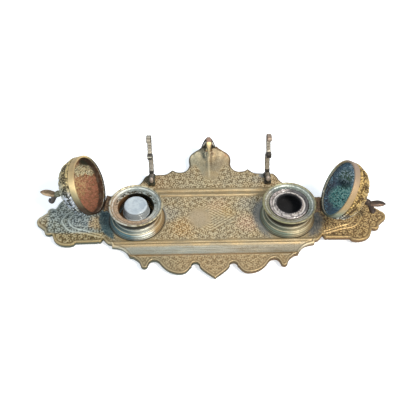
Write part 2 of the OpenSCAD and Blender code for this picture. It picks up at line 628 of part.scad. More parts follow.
tray();
back_leaf();
foot_ring(left);  // left_foot_ring
foot_ring(right);  // right_foot_ring
bowl(left);  // left_bowl
bowl(right);  // right_bowl
bowl_screw(left);  // left_bowl_screw
bowl_screw(right);  // right_bowl_screw
bowl_washer(left);  // left_bowl_washer
bowl_washer(right);  // right_bowl_washer
bowl_nut(left);  // left_bowl_nut
bowl_nut(right);  // right_bowl_nut
bowl_hinge(left);  // left_bowl_hinge
bowl_hinge(right);  // right_bowl_hinge
lid_hinge(left);  // left_lid_hinge
lid_hinge(right);  // right_lid_hinge
hinge_pin(left);  // left_hinge_pin
hinge_pin(right);  // right_hinge_pin
lid(left);  // left_lid
lid(right);  // right_lid
finial(left);  // left_finial
finial(right);  // right_finial
finial_nut(left);  // left_finial_nut
finial_nut(right);  // right_finial_nut
ink_pot();
pot_cap();
glass_liner();
pen_rest(left);  // left_pen_rest
pen_rest(right);  // right_pen_rest
pen_rest_screws();
foot(left, 0);  // front_left_foot
foot(right, 0);  // front_right_foot
foot(left, 1);  // back_left_foot
foot(right, 1);  // back_right_foot
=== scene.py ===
"""Looks of the desk inkstand: a cast and engraved brass tray with two lidded inkwells, two pen rests,
a curled leaf at the back and what lifts out of the wells. Sizes are in millimetres until a mesh is made."""
import math

import bpy
import numpy as np
from mathutils import Matrix, Vector
from mathutils.geometry import delaunay_2d_cdt


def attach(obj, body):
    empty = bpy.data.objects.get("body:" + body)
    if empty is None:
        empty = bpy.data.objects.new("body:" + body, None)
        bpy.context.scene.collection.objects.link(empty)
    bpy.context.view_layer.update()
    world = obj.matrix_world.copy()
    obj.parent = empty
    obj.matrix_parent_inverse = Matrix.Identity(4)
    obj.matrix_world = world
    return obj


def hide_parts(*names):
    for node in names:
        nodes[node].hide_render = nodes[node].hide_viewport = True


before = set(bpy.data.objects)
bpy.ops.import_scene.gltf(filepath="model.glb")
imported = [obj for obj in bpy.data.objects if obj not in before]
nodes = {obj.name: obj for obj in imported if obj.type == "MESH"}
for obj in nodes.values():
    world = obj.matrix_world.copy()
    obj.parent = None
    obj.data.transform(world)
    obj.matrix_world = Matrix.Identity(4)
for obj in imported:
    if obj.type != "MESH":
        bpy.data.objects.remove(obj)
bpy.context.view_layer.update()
scene = bpy.context.scene

# ---------------- sizes, as in the part
MM = 0.001
FOOT_H, PLATE_T = 5, 4.4
DECK = FOOT_H + PLATE_T
TRAY_W = 360
WELL_X, RIM_R, RIM_H, RING_R, RING_H, NECK_R, BORE_R = 77.3, 27.3, 22.3, 28.2, 8.4, 22.6, 19.2
FLOOR_T, SPIGOT_R, DISH_H, LIP_W, GLASS_T = 3.4, 20.4, 2.6, 6.6, 1.8
POT_R, POT_H, CAP_H, CAP_R, POT_WALL, LIFT_FIT = 13.6, 12.6, 8.6, 12.6, 1.6, 0.4
RIBS, RIB_STEP = 4, 1.5                      # on the pot's cap
LID_R, BAND_H, BAND_OUT, DOME_H, LID_WALL, LID_GAP = 29.3, 6.5, 0.5, 20, 1.5, 0.3
HINGE_R, PIN_Z = 29.85, 21.1
STUD_R = 2.2
FINIAL_L, LONG_OUT, SHORT_OUT = 27, 9.8, 5.5
LEFT, RIGHT = -1, 1
TAU = 2 * math.pi
join = np.concatenate
TURN = {LEFT: 173.6, RIGHT: -5.4}            # direction of each hinge
OPEN = {LEFT: 113, RIGHT: 115}               # how far each lid stands open
LEAN = {LEFT: 11, RIGHT: 15}                 # lean of each finial
LEDGE_Y, TROUGH_Y, RAIL_Y, RAIL_W = -28.4, -46.4, 29.6, 10.4
FRONT_D, BACK_D, LOBE_END, LOBE_RISE = 73.5, 61.3, 93.3, 10.9
SWEEP_START = BACK_D + 13
LEDGE_H = APRON_DROP = 1.2
WELL_Y = (FRONT_D - LOBE_END) / 2
WING_ROOT, WING_HALF, WING_MID = 110.8, 23, -1.2
SHOULDER, CORNER_X = 36.6, 66.5
REST_X = {LEFT: -63.5, RIGHT: 61.5}
REST_T, REST_H, REST_LEAN, SEAT_H, SCROLL_W, REST_FOOT_H = 4.8, 67, 3, 38, 3.6, 3
REST_BACK, REST_FRONT = 60, 44.5
LEAF_X, LEAF_H, LEAF_W, TENON_Y = -1.3, 29, 16, 90.7


# ---------------- camera and light
def place_camera():
    """The camera looks down on the tray at about fifty degrees, a little from the left."""
    yaw, pitch, roll = (math.radians(degrees) for degrees in (-2.378, 50.146, 0.887))
    aim, distance, focal_length = Vector((-7.111, 6.891, 9.4)), 663.206, 55.52
    back = Vector((math.sin(yaw) * math.cos(pitch), -math.cos(yaw) * math.cos(pitch), math.sin(pitch)))
    right = Vector((math.cos(yaw), math.sin(yaw), 0))
    up = back.cross(right)
    x = right * math.cos(roll) + up * math.sin(roll)
    y = up * math.cos(roll) - right * math.sin(roll)
    cam = bpy.data.objects.new("camera", bpy.data.cameras.new("camera"))
    cam.matrix_world = Matrix((x, y, back)).transposed().to_4x4()
    cam.location = (aim + back * distance) * MM
    cam.data.lens = focal_length
    cam.data.sensor_width = 36
    cam.data.clip_start = 0.01
    scene.collection.objects.link(cam)
    scene.camera = cam


def lamp(name, towards, distance, size, power, colour):
    """A square lamp at a distance from the tray's middle, facing it."""
    light = bpy.data.lights.new(name, "AREA")
    light.size, light.energy, light.color = size, power, colour
    lamp_object = bpy.data.objects.new(name, light)
    direction = Vector(towards).normalized()
    lamp_object.location = direction * distance
    lamp_object.rotation_euler = direction.to_track_quat("Z", "Y").to_euler()
    scene.collection.objects.link(lamp_object)


# ---------------- shader maths
def tone(r, g, b):
    """A colour from 0 to 255 per channel, as a screen shows it, in the linear values that shaders use."""
    v = np.array([r, g, b]) / 255
    v = np.where(v <= 0.04045, v / 12.92, ((v + 0.055) / 1.055) ** 2.4)
    return (float(v[0]), float(v[1]), float(v[2]), 1.0)


class Value:
    """A socket that carries a number; arithmetic on it adds Math nodes."""

    def __init__(self, paint, socket):
        self.paint, self.socket = paint, socket

    def math(self, operation, *values):
        """A Math node of values and links."""
        return self.paint.node("Math", {"operation": operation}, dict(enumerate(values)))

    def __add__(self, other):
        return self.math("ADD", self, other)

    def __sub__(self, other):
        return self.math("SUBTRACT", self, other)

    def __rsub__(self, other):
        return self.math("SUBTRACT", other, self)

    def __mul__(self, other):
        return self.math("MULTIPLY", self, other)

    def __truediv__(self, other):
        return self.math("DIVIDE", self, other)

    __radd__, __rmul__ = __add__, __mul__

    def abs(self):
        return self.math("ABSOLUTE", self)

    def most(self, other):
        return self.math("MAXIMUM", self, other)

    def step(self, low, high):
        """0 below low, 1 above high and a smooth rise between them; low may be the larger."""
        if low > high:
            return 1 - self.step(high, low)
        inputs = {"Value": self, "From Min": low, "From Max": high}
        return self.paint.node("MapRange", {"interpolation_type": "SMOOTHSTEP"}, inputs)

    def band(self, a, b, c, d):
        """1 from b to c, 0 below a and above d, and smooth between."""
        return self.step(a, b) * self.step(d, c)

    def ramp(self, low, high, *stops):
        """A colour that runs through the stops, (share, colour), as the number goes from low to high."""
        return self.paint.node("ValToRGB", {"stops": stops}, {0: (self - low) / (high - low)})


class Paint:
    """One node material with a Principled shader, and the patterns that feed it."""

    def __init__(self, name, **constants):
        self.material = bpy.data.materials.new(name)
        self.material.use_nodes = True
        self.tree = self.material.node_tree
        self.shader = self.tree.nodes["Principled BSDF"]
        for socket, value in constants.items():
            self.shader.inputs[socket.replace("_", " ")].default_value = value
        self.place = self.node("TexCoord", {}, {}, "Object")

    def node(self, kind, settings, inputs, out=0):
        """Adds a node: its settings first, then the values or links of its sockets."""
        n = self.tree.nodes.new("ShaderNode" + kind)
        for key, value in settings.items():
            if key == "stops":
                ramp = n.color_ramp.elements
                while len(ramp) < len(value):
                    ramp.new(0.5)
                for element, (position, colour) in zip(ramp, value):
                    element.position, element.color = position, tone(*colour)
            else:
                setattr(n, key, value)
        for key, value in inputs.items():
            self.link(value, n.inputs[key])
        return Value(self, n.outputs[out])

    def link(self, value, socket):
        """Leads a value to a socket, or sets the socket to a plain number or colour."""
        if isinstance(value, Value):
            self.tree.links.new(value.socket, socket)
        else:
            socket.default_value = value

    def set(self, socket, value):
        """Gives one socket of the Principled shader its value or link."""
        self.link(value, self.shader.inputs[socket])

    def vector(self, operation, a, b, out=0):
        """A Vector Math node of two values or links."""
        return self.node("VectorMath", {"operation": operation}, {0: a, 1: b}, out)

    def along(self, direction, centre=(0, 0, 0)):
        """Millimetres from a centre along a direction."""
        towards = Vector(direction).normalized()
        return self.vector("DOT_PRODUCT", self.place, towards, "Value") / MM - towards.dot(Vector(centre))

    def near(self, centre, inner, outer, ragged=0.3, grain=4, stretch=(1, 1, 1)):
        """1 within inner millimetres of a centre and 0 beyond outer, with a ragged edge."""
        scaled = self.vector("DIVIDE", self.vector("SUBTRACT", self.place, Vector(centre) * MM), stretch)
        length = self.vector("LENGTH", scaled, (0, 0, 0), "Value") / MM
        return (length + (self.noise(grain) - 0.5) * (2 * ragged * outer)).step(outer, inner)

    def noise(self, size, detail=3, rough=0.55, warp=0.0, place=None):
        """Soft cloudy pattern from 0 to 1; size is its grain in millimetres."""
        inputs = {"Vector": place or self.place, "Scale": 1 / (size * MM), "Detail": detail,
                  "Roughness": rough, "Distortion": warp}
        return self.node("TexNoise", {}, inputs)

    def spots(self, size, low, high):
        """Soft-edged spots: 0 where the noise of this grain is below low, 1 where it is above high."""
        return self.noise(size).step(low, high)

    def stretched(self, x, y, z):
        """The place on the piece, scaled along each axis, for a pattern that runs one way."""
        return self.node("Mapping", {}, {"Vector": self.place, "Scale": (x, y, z)})

    def own(self, name):
        """A number stored on the mesh."""
        return self.node("Attribute", {"attribute_name": name}, {}, "Fac")

    def mix(self, factor, a, b):
        """From colour a at 0 to colour b at 1; a colour is a node's or (r, g, b) from 0 to 255."""
        n = self.tree.nodes.new("ShaderNodeMix")
        n.data_type = "RGBA"                    # colours go into its sockets 6 and 7 and out of 2
        for value, socket in zip((factor, a, b), (n.inputs[0], n.inputs[6], n.inputs[7])):
            self.link(tone(*value) if isinstance(value, tuple) else value, socket)
        return Value(self, n.outputs[2])

    def coats(self, colour, *laid):
        """The colour with coats laid over it in turn, each given as how much it covers and its colour."""
        for cover, coat in laid:
            colour = self.mix(cover, colour, coat)
        return colour

    def finished(self, colour, rough, height, depth):
        """Sets the colour, the roughness and fine relief: depth millimetres for each unit of height."""
        self.set("Base Color", colour)
        self.set("Roughness", rough)
        self.set("Normal", self.node("Bump", {}, {"Height": height, "Distance": depth * MM}))
        return self.material


# ---------------- meshes
def outward(points, faces):
    """The faces of a closed shell, turned round if the volume that they hold comes out negative."""
    volume = 0
    for f in faces:
        a = points[f[:, 0]]
        for k in range(1, f.shape[1] - 1):
            volume += np.einsum("ij,ij->", a, np.cross(points[f[:, k]], points[f[:, k + 1]]))
    return [f[:, ::-1] for f in faces] if volume < 0 else faces


def make_mesh(name, points, faces, numbers, sharp):
    """A mesh object in metres from points in millimetres and lists of triangles or quads."""
    mesh = bpy.data.meshes.new(name)
    sizes = join([np.full(len(f), f.shape[1]) for f in faces])
    corners = join([f.ravel() for f in faces]).astype(np.int32)
    mesh.vertices.add(len(points))
    mesh.vertices.foreach_set("co", (np.asarray(points, float) * MM).astype(np.float32).ravel())
    mesh.loops.add(len(corners))
    mesh.loops.foreach_set("vertex_index", corners)
    mesh.polygons.add(len(sizes))
    starts = join([[0], np.cumsum(sizes)[:-1]]).astype(np.int32)
    mesh.polygons.foreach_set("loop_start", starts)
    mesh.polygons.foreach_set("use_smooth", np.ones(len(sizes), bool))
    for key, values in numbers.items():
        layer = mesh.attributes.new(key, "FLOAT", "POINT")
        layer.data.foreach_set("value", np.asarray(values, np.float32).ravel())
    mesh.update(calc_edges=True)
    mesh.validate()
    mesh.set_sharp_from_angle(angle=math.radians(sharp))
    piece = bpy.data.objects.new(name, mesh)
    scene.collection.objects.link(piece)
    return piece


def moved(shells, matrix):
    """The shells, each of points, faces and numbers, with their points moved by a matrix."""
    m = np.array(matrix)
    return [(points @ m[:3, :3].T + m[:3, 3], faces, numbers) for points, faces, numbers in shells]


def marked(shell, **marks):
    """The shell with further numbers for its finish, each the same all over it."""
    shell[2].update({key: np.full(len(shell[0]), float(value)) for key, value in marks.items()})
    return shell


def joined(name, shells, matrix, sharp=45):
    """One piece from closed shells placed by a matrix; a number that a shell lacks is 0 on it."""
    keys = sorted({k for shell in shells for k in shell[2]})
    points, faces, numbers, start = [], [], {k: [] for k in keys}, 0
    for shell_points, shell_faces, shell_numbers in moved(shells, matrix):
        faces += [f + start for f in outward(shell_points, shell_faces)]
        points.append(shell_points)
        for k in keys:
            numbers[k].append(shell_numbers.get(k, np.zeros(len(shell_points))))
        start += len(shell_points)
    return make_mesh(name, join(points), faces, {k: join(v) for k, v in numbers.items()}, sharp)


def grid_faces(rows, columns, wrap_rows=False):
    """Quads of a grid of points stored row by row, its columns closed into rings."""
    i, j = np.meshgrid(np.arange(rows if wrap_rows else rows - 1), np.arange(columns), indexing="ij")
    i2, j2 = (i + 1) % rows, (j + 1) % columns
    quads = np.stack([i * columns + j, i * columns + j2, i2 * columns + j2, i2 * columns + j], -1)
    return quads.reshape(-1, 4)


def closed_by(points, rows, columns, first, last):
    """The points and faces of a grid of rings whose two ends are closed by one point each."""
    ring = np.arange(columns)
    after = (ring + 1) % columns
    n, end = len(points), (rows - 1) * columns
    caps = [np.stack([after, ring, np.full(columns, n)], 1),
            np.stack([end + ring, end + after, np.full(columns, n + 1)], 1)]
    return join([points, [first, last]]), [grid_faces(rows, columns)] + caps


def curve(a, b, c, d, n=7):
    """Points along a cubic curve from a to d, without the last one."""
    t = (np.arange(n) / n)[:, None]
    u = 1 - t
    a, b, c, d = (np.array(point) for point in (a, b, c, d))
    return u ** 3 * a + 3 * u * u * t * b + 3 * u * t * t * c + t ** 3 * d


def arc(centre, r, a0, a1, n=10):
    """Points along a circular arc, angles in degrees."""
    a = np.radians(np.linspace(a0, a1, n + 1))
    return np.array(centre) + r * np.stack([np.cos(a), np.sin(a)], 1)


def resampled(path, step):
    """The path with points at about even steps along it, its corners kept only to within a step."""
    d = join([[0], np.cumsum(np.linalg.norm(np.diff(path, axis=0), axis=1))])
    n = max(2, int(round(d[-1] / step)) + 1)
    s = np.linspace(0, d[-1], n)
    return np.stack([np.interp(s, d, path[:, k]) for k in range(path.shape[1])], 1)


def soft(profile, step, passes, ring):
    """An outline at even steps, its corners rounded by averaging each point with its neighbours."""
    path = np.array(profile, float)
    line = resampled(join([path, path[:1]]) if ring else path, step)
    line = line[:-1] if ring else line
    for _ in range(passes):
        mean = (np.roll(line, 1, axis=0) + 2 * line + np.roll(line, -1, axis=0)) / 4
        line = mean if ring else join([line[:1], mean[1:-1], line[-1:]])
    return line


def ease(x, low, high):
    """0 below low, 1 above high and a smooth rise between them; low may be the larger."""
    t = np.clip((x - low) / (high - low), 0, 1)
    return t * t * (3 - 2 * t)


def bell(x, half):
    """1 at 0, falling off on both sides, to about a third at half."""
    return np.exp(-(x / half) ** 2)


def wave(turns):
    """1 at each whole turn and 0 half-way between."""
    return 0.5 + 0.5 * np.cos(TAU * turns)


def turned(line, around, ring, relief=None):
    """A turned shell: each point (r, z) of an outline, carried round the axis at angle a, gives
    (r cos a, r sin a, z), raised along the outline's outer normal by what relief gives for it.

    An outline that is no ring runs from the axis to the axis and ends in one point at each end."""
    line = np.asarray(line, float)
    body = line if ring else line[1:-1]
    a = np.linspace(0, TAU, around, endpoint=False)[None, :]
    r, z = body[:, :1] + 0 * a, body[:, 1:] + 0 * a
    numbers = {"r": r, "z": z}
    if relief is not None:
        after, before = np.roll(line, -1, axis=0), np.roll(line, 1, axis=0)
        t = after - before if ring else (after - before)[1:-1]
        t = t / np.maximum(np.linalg.norm(t, axis=1, keepdims=True), 1e-9)
        area = np.sum(line[:, 0] * after[:, 1] - after[:, 0] * line[:, 1])
        height, more = relief(a, body)
        numbers.update(more)
        height = height * np.sign(area)
        r, z = r + height * t[:, 1:], z - height * t[:, :1]
    points = np.stack([r * np.cos(a), r * np.sin(a), z], -1).reshape(-1, 3)
    rows = len(body)
    if ring:
        faces = [grid_faces(rows, around, wrap_rows=True)]
    else:
        points, faces = closed_by(points, rows, around, (0, 0, line[0, 1]), (0, 0, line[-1, 1]))
    extra = len(points) - rows * around
    ends = {"r": [0, 0], "z": [line[0, 1], line[-1, 1]]}
    return points, faces, {k: join([v.ravel(), ends.get(k, v.ravel()[[0, -1]])[:extra]])
                           for k, v in numbers.items()}


def spun(profile, step, passes, around, ring=False):
    """A turned shell from the corners of its outline, which are softened; around is its points in a ring."""
    return turned(soft(profile, step, passes, ring), around, ring)


def swept(path, across, width, thick, power, around, cup=0, groove=0):
    """A bar carried along a path: at each point a ring of angle q, out by half the width times
    cos q to a power along across, and by half the thickness times sin q to the same power along the
    normal. cup bends the edges up along the normal, groove sinks the middle of the upper side."""
    path = np.asarray(path, float)
    n = len(path)
    t = np.gradient(path, axis=0)
    t = t / np.linalg.norm(t, axis=1, keepdims=True)
    side = np.broadcast_to(np.asarray(across, float), (n, 3))
    normal = np.cross(side, t)
    q = np.linspace(0, TAU, around, endpoint=False)[None, :]
    u = np.sign(np.cos(q)) * np.abs(np.cos(q)) ** power
    v = np.sign(np.sin(q)) * np.abs(np.sin(q)) ** power
    w = np.broadcast_to(np.asarray(width, float) / 2, n)[:, None]
    h = np.broadcast_to(np.asarray(thick, float) / 2, n)[:, None]
    lift = h * v + cup * u * u * w / w.max() - groove * bell(u, 0.35) * (v > 0)
    points = (path[:, None, :] + side[:, None, :] * (w * u)[..., None]
              + normal[:, None, :] * lift[..., None]).reshape(-1, 3)
    points, faces = closed_by(points, n, around, path[0], path[-1])
    s = np.linspace(0, 1, n)[:, None] + 0 * u
    numbers = {"s": s, "u": np.abs(u) + 0 * s}
    return points, faces, {k: join([x.ravel(), x.ravel()[[0, -1]]]) for k, x in numbers.items()}


# ---------------- outline of the tray
def wing_edge():
    """The lower edge of the right wing, from its root to its tip, measured from the tip."""
    k, h = WING_ROOT - TRAY_W / 2, -WING_HALF
    return join([
        [[k, h], [k + 1.4, h - 3.2]], arc([k + 3.2, h - 2.4], 2, 210, 320, 5),
        [[k + 6, h - 4.2], [-42, h - 4.6], [-40.8, h - 6.8]],
        curve([-40.8, h - 6.8], [-38, h - 8.6], [-32, h - 8.6], [-28, h - 7.2]),
        curve([-28, h - 7.2], [-22, h - 5], [-18.8, h], [-18.7, h + 5]),
        arc([-14.2, -12.4], 4.9, 232, 372, 8), arc([-7.2, 0], 7.2, -62, 0, 8)])


def front_edge():
    """The right half of the front edge, from the point in the middle to the wing."""
    f, k, s = -FRONT_D, WING_ROOT, -SHOULDER
    return join([
        curve([0, f], [5, f + 4.5], [10.5, f + 7.5], [14.8, f + 13.4]),
        arc([18.6, f + 14.3], 3.9, 190, -10),
        curve([23.6, f + 12.9], [26, f + 8.5], [29, f + 5.9], [33.5, f + 5.9]),
        curve([33.5, f + 5.9], [42, f + 5.9], [48.5, f + 11], [52.5, f + 17]),
        curve([52.5, f + 17], [54.5, f + 20.5], [57, f + 21.7], [59.5, f + 21.6]),
        curve([59.5, f + 21.6], [62.5, f + 21.5], [63.5, f + 19.5], [64.8, f + 16.3]),
        arc([68.3, f + 16.3], 3.5, 180, 355),
        curve([71.8, f + 16], [72.8, f + 19], [73.5, f + 21], [76.5, f + 22.9]),
        [[79.3, f + 25.2], [83.2, f + 26.1]],
        curve([83.2, f + 26.1], [85.5, f + 31], [k - 22.8, s - 2], [k - 17.6, s]),
        curve([k - 17.6, s], [k - 13, s + 1.4], [k - 10, s + 1], [k - 9.2, s + 2]),
        [[k - 9, s + 4.8], [k - 5.4, s + 6], [k - 3, s + 8.4]]])


def back_edge():
    """The right half of the back edge, from the wing to the top of the lobe."""
    b, k, s, x, e = BACK_D, WING_ROOT, SHOULDER, CORNER_X, LOBE_END
    return join([
        [[k - 3, s - 10.8], [k - 5.4, s - 8.4], [k - 9, s - 7.2]],
        curve([k - 9.2, s - 4.4], [k - 16, s - 3.1], [x + 19, s + 0.4], [x + 15.5, s + 6.9]),
        curve([x + 15.5, s + 6.9], [x + 11, b - 15], [x + 9, b - 12], [x + 7.5, b - 9.3]),
        curve([x + 7.5, b - 9.3], [x + 6, b - 5], [x + 4, b - 0.5], [x, b]),
        curve([51, b], [47, b + 0.2], [45, b + 2.7], [43.6, b + 4.7]),
        curve([41.3, b + 6.7], [39, b + 4.8], [38, b + 3.4], [34, b + 3]),
        curve([34, b + 3], [29, b + 2.7], [26, b + 4.7], [24.3, b + 8.2]),
        curve([24.3, b + 8.2], [22.5, b + 12.2], [22.2, b + 14.5], [23, b + 18]),
        curve([23, b + 18], [24, e - 9.5], [22, e - 6], [17.5, e - 4]),
        curve([17.5, e - 4], [13, e - 2.2], [10, e - 1.2], [8.5, e]), [[8.5, e]]])


def tray_outline():
    """The whole outline, anticlockwise from the point at the front."""
    w = wing_edge()
    tip = np.array([TRAY_W / 2, WING_MID])
    half = join([front_edge(), w + tip, w[-2::-1] * [1, -1] + tip, back_edge()])
    return join([half, half[:0:-1] * [-1, 1]])


def edge_distance(points, loop):
    """Distance of each point to a closed loop, positive inside; by segments, with the crossings counted."""
    a, b = loop, np.roll(loop, -1, axis=0)
    best = np.full(len(points), np.inf)
    inside = np.zeros(len(points), bool)
    for p, q in zip(a, b):
        d = q - p
        length = d @ d
        if length < 1e-12:
            continue
        v = points - p
        t = np.clip((v @ d) / length, 0, 1)
        best = np.minimum(best, np.hypot(v[:, 0] - t * d[0], v[:, 1] - t * d[1]))
        if p[1] != q[1]:
            crosses = (p[1] > points[:, 1]) != (q[1] > points[:, 1])
            inside ^= crosses & (points[:, 0] < p[0] + (points[:, 1] - p[1]) * d[0] / d[1])
    return np.where(inside, best, -best)


def line_distance(x, y, path):
    """Distance to an open path."""
    best = np.full(x.shape, np.inf)
    for p, q in zip(path[:-1], path[1:]):
        d = q - p
        t = np.clip(((x - p[0]) * d[0] + (y - p[1]) * d[1]) / max(d @ d, 1e-9), 0, 1)
        best = np.minimum(best, np.hypot(x - p[0] - t * d[0], y - p[1] - t * d[1]))
    return best


# ---------------- ornament
def scatter(i, j, k):
    """A fixed scattered number from 0 to 1 for each cell of a grid."""
    v = np.sin(i * 127.1 + j * 311.7 + k * 74.7) * 43758.5453
    return v - np.floor(v)


def ripples(x, y, pitch, seed):
    """Seven waves of about one pitch that run in evenly spread directions, added up: a maze of short
    curved strokes, each stroke about half a pitch wide."""
    total = np.zeros(x.shape)
    for k in range(7):
        turn = math.pi * (k + scatter(k, seed, 1)) / 7
        along = (x * math.cos(turn) + y * math.sin(turn)) / (pitch * (0.85 + 0.3 * scatter(k, seed, 3)))
        total += np.cos(TAU * (along + scatter(k, seed, 2)))
    return total / math.sqrt(3.5)


def scrolls(x, y, cell, pitch, seed=0):
    """Scrollwork: each cell of an uneven grid holds a spiral round its own centre, a cosine of the
    radius over the pitch plus the angle in turns, and ripples fill what is left between the spirals.
    1 is the top of a stroke, 0 the bottom of a cut."""
    i0, j0 = np.floor(x / cell), np.floor(y / cell)
    near = np.full(x.shape, np.inf)
    dx, dy, turn, phase = (np.zeros(x.shape) for _ in range(4))
    for di in (-1, 0, 1):
        for dj in (-1, 0, 1):
            i, j = i0 + di, j0 + dj
            cx = (i + 0.5 + 0.4 * (scatter(i, j, seed) - 0.5) + 0.25 * (j % 2)) * cell
            cy = (j + 0.5 + 0.4 * (scatter(i, j, seed + 1) - 0.5)) * cell
            r = np.hypot(x - cx, y - cy)
            closer = r < near
            near = np.where(closer, r, near)
            dx, dy = np.where(closer, x - cx, dx), np.where(closer, y - cy, dy)
            turn = np.where(closer, np.where((i + j) % 2 == 0, 1, -1), turn)
            phase = np.where(closer, scatter(i, j, seed + 2), phase)
    spiral = np.cos(TAU * (near / pitch + turn * np.arctan2(dy, dx) / TAU + phase))
    between = ease(near, 0.33 * cell, 0.45 * cell)
    strokes = spiral * (1 - between) + ripples(x, y, pitch, seed) * between
    return 0.5 + 0.5 * np.tanh(1.3 * strokes + 0.5 * ripples(x, y, 2.4 * pitch, seed + 1))


def sweep(y):
    """Height of the back lobe, an arc of a circle from its start to its end."""
    length = LOBE_END - SWEEP_START
    r = (length ** 2 + LOBE_RISE ** 2) / (2 * LOBE_RISE)
    t = np.clip(y - SWEEP_START, 0, length)
    return r - np.sqrt(r * r - t * t)


def mouldings(y):
    """Height across the front ledge, the pen trough and the back rail, read along y."""
    h = LEDGE_H
    groups = (
        (TROUGH_Y, ((-5, -0.15), (-1.2, 0.15), (-0.3, 0.3), (0.3, -0.4), (4, -1.2), (8, -1.2))),
        (LEDGE_Y, ((-6.5, -0.7), (-5.2, -0.1), (-4.6, 0.5 * h), (-4.1, 0.1 * h), (-3.7, 0.1 * h), (-3.2, h),
                   (-1.6, h + 0.2), (-0.7, h), (-0.1, 0.1), (0.3, -0.3), (0.8, -0.3), (1.4, 0))),
        (RAIL_Y, ((-1.2, 0), (-0.4, -0.3), (0, 0), (0.6, h), (1.8, h), (2.6, 0.35 * h), (4.3, 0),
                  (4.8, 0.35 * h), (5.2, 0), (6, 0.25 * h), (7.4, h), (9, h), (9.8, 0.1), (RAIL_W, -0.35),
                  (RAIL_W + 0.8, 0))))
    profile = [(middle + offset, z) for middle, steps in groups for offset, z in steps]
    profile = np.array([(-FRONT_D, -APRON_DROP)] + profile + [(LOBE_END, 0)])
    fine = np.linspace(profile[0, 0], LOBE_END, 1600)
    z = np.interp(fine, profile[:, 0], profile[:, 1])
    kernel = np.hanning(7)
    z = np.convolve(np.pad(z, 3, mode="edge"), kernel / kernel.sum(), mode="valid")
    return np.interp(y, fine, z)


def strapwork():
    """Raised double lines on a wing, as paths on the right wing."""
    outer = join([curve([112, -23], [118, -21.5], [124, -19], [130, -17.4]),
                  curve([130, -17.4], [136, -15.6], [143, -16.6], [148, -11.5]),
                  curve([148, -11.5], [152, -7.5], [153, -5], [154.5, WING_MID], 8), [[154.5, WING_MID]]])
    inner = join([curve([113, -19.6], [120, -18], [126, -14.5], [133, -12.6]),
                  curve([133, -12.6], [140, -11.6], [144, -10], [147.5, WING_MID], 8), [[147.5, WING_MID]]])
    return [join([p, (p[::-1] - [0, WING_MID]) * [1, -1] + [0, WING_MID]]) for p in (outer, inner)]


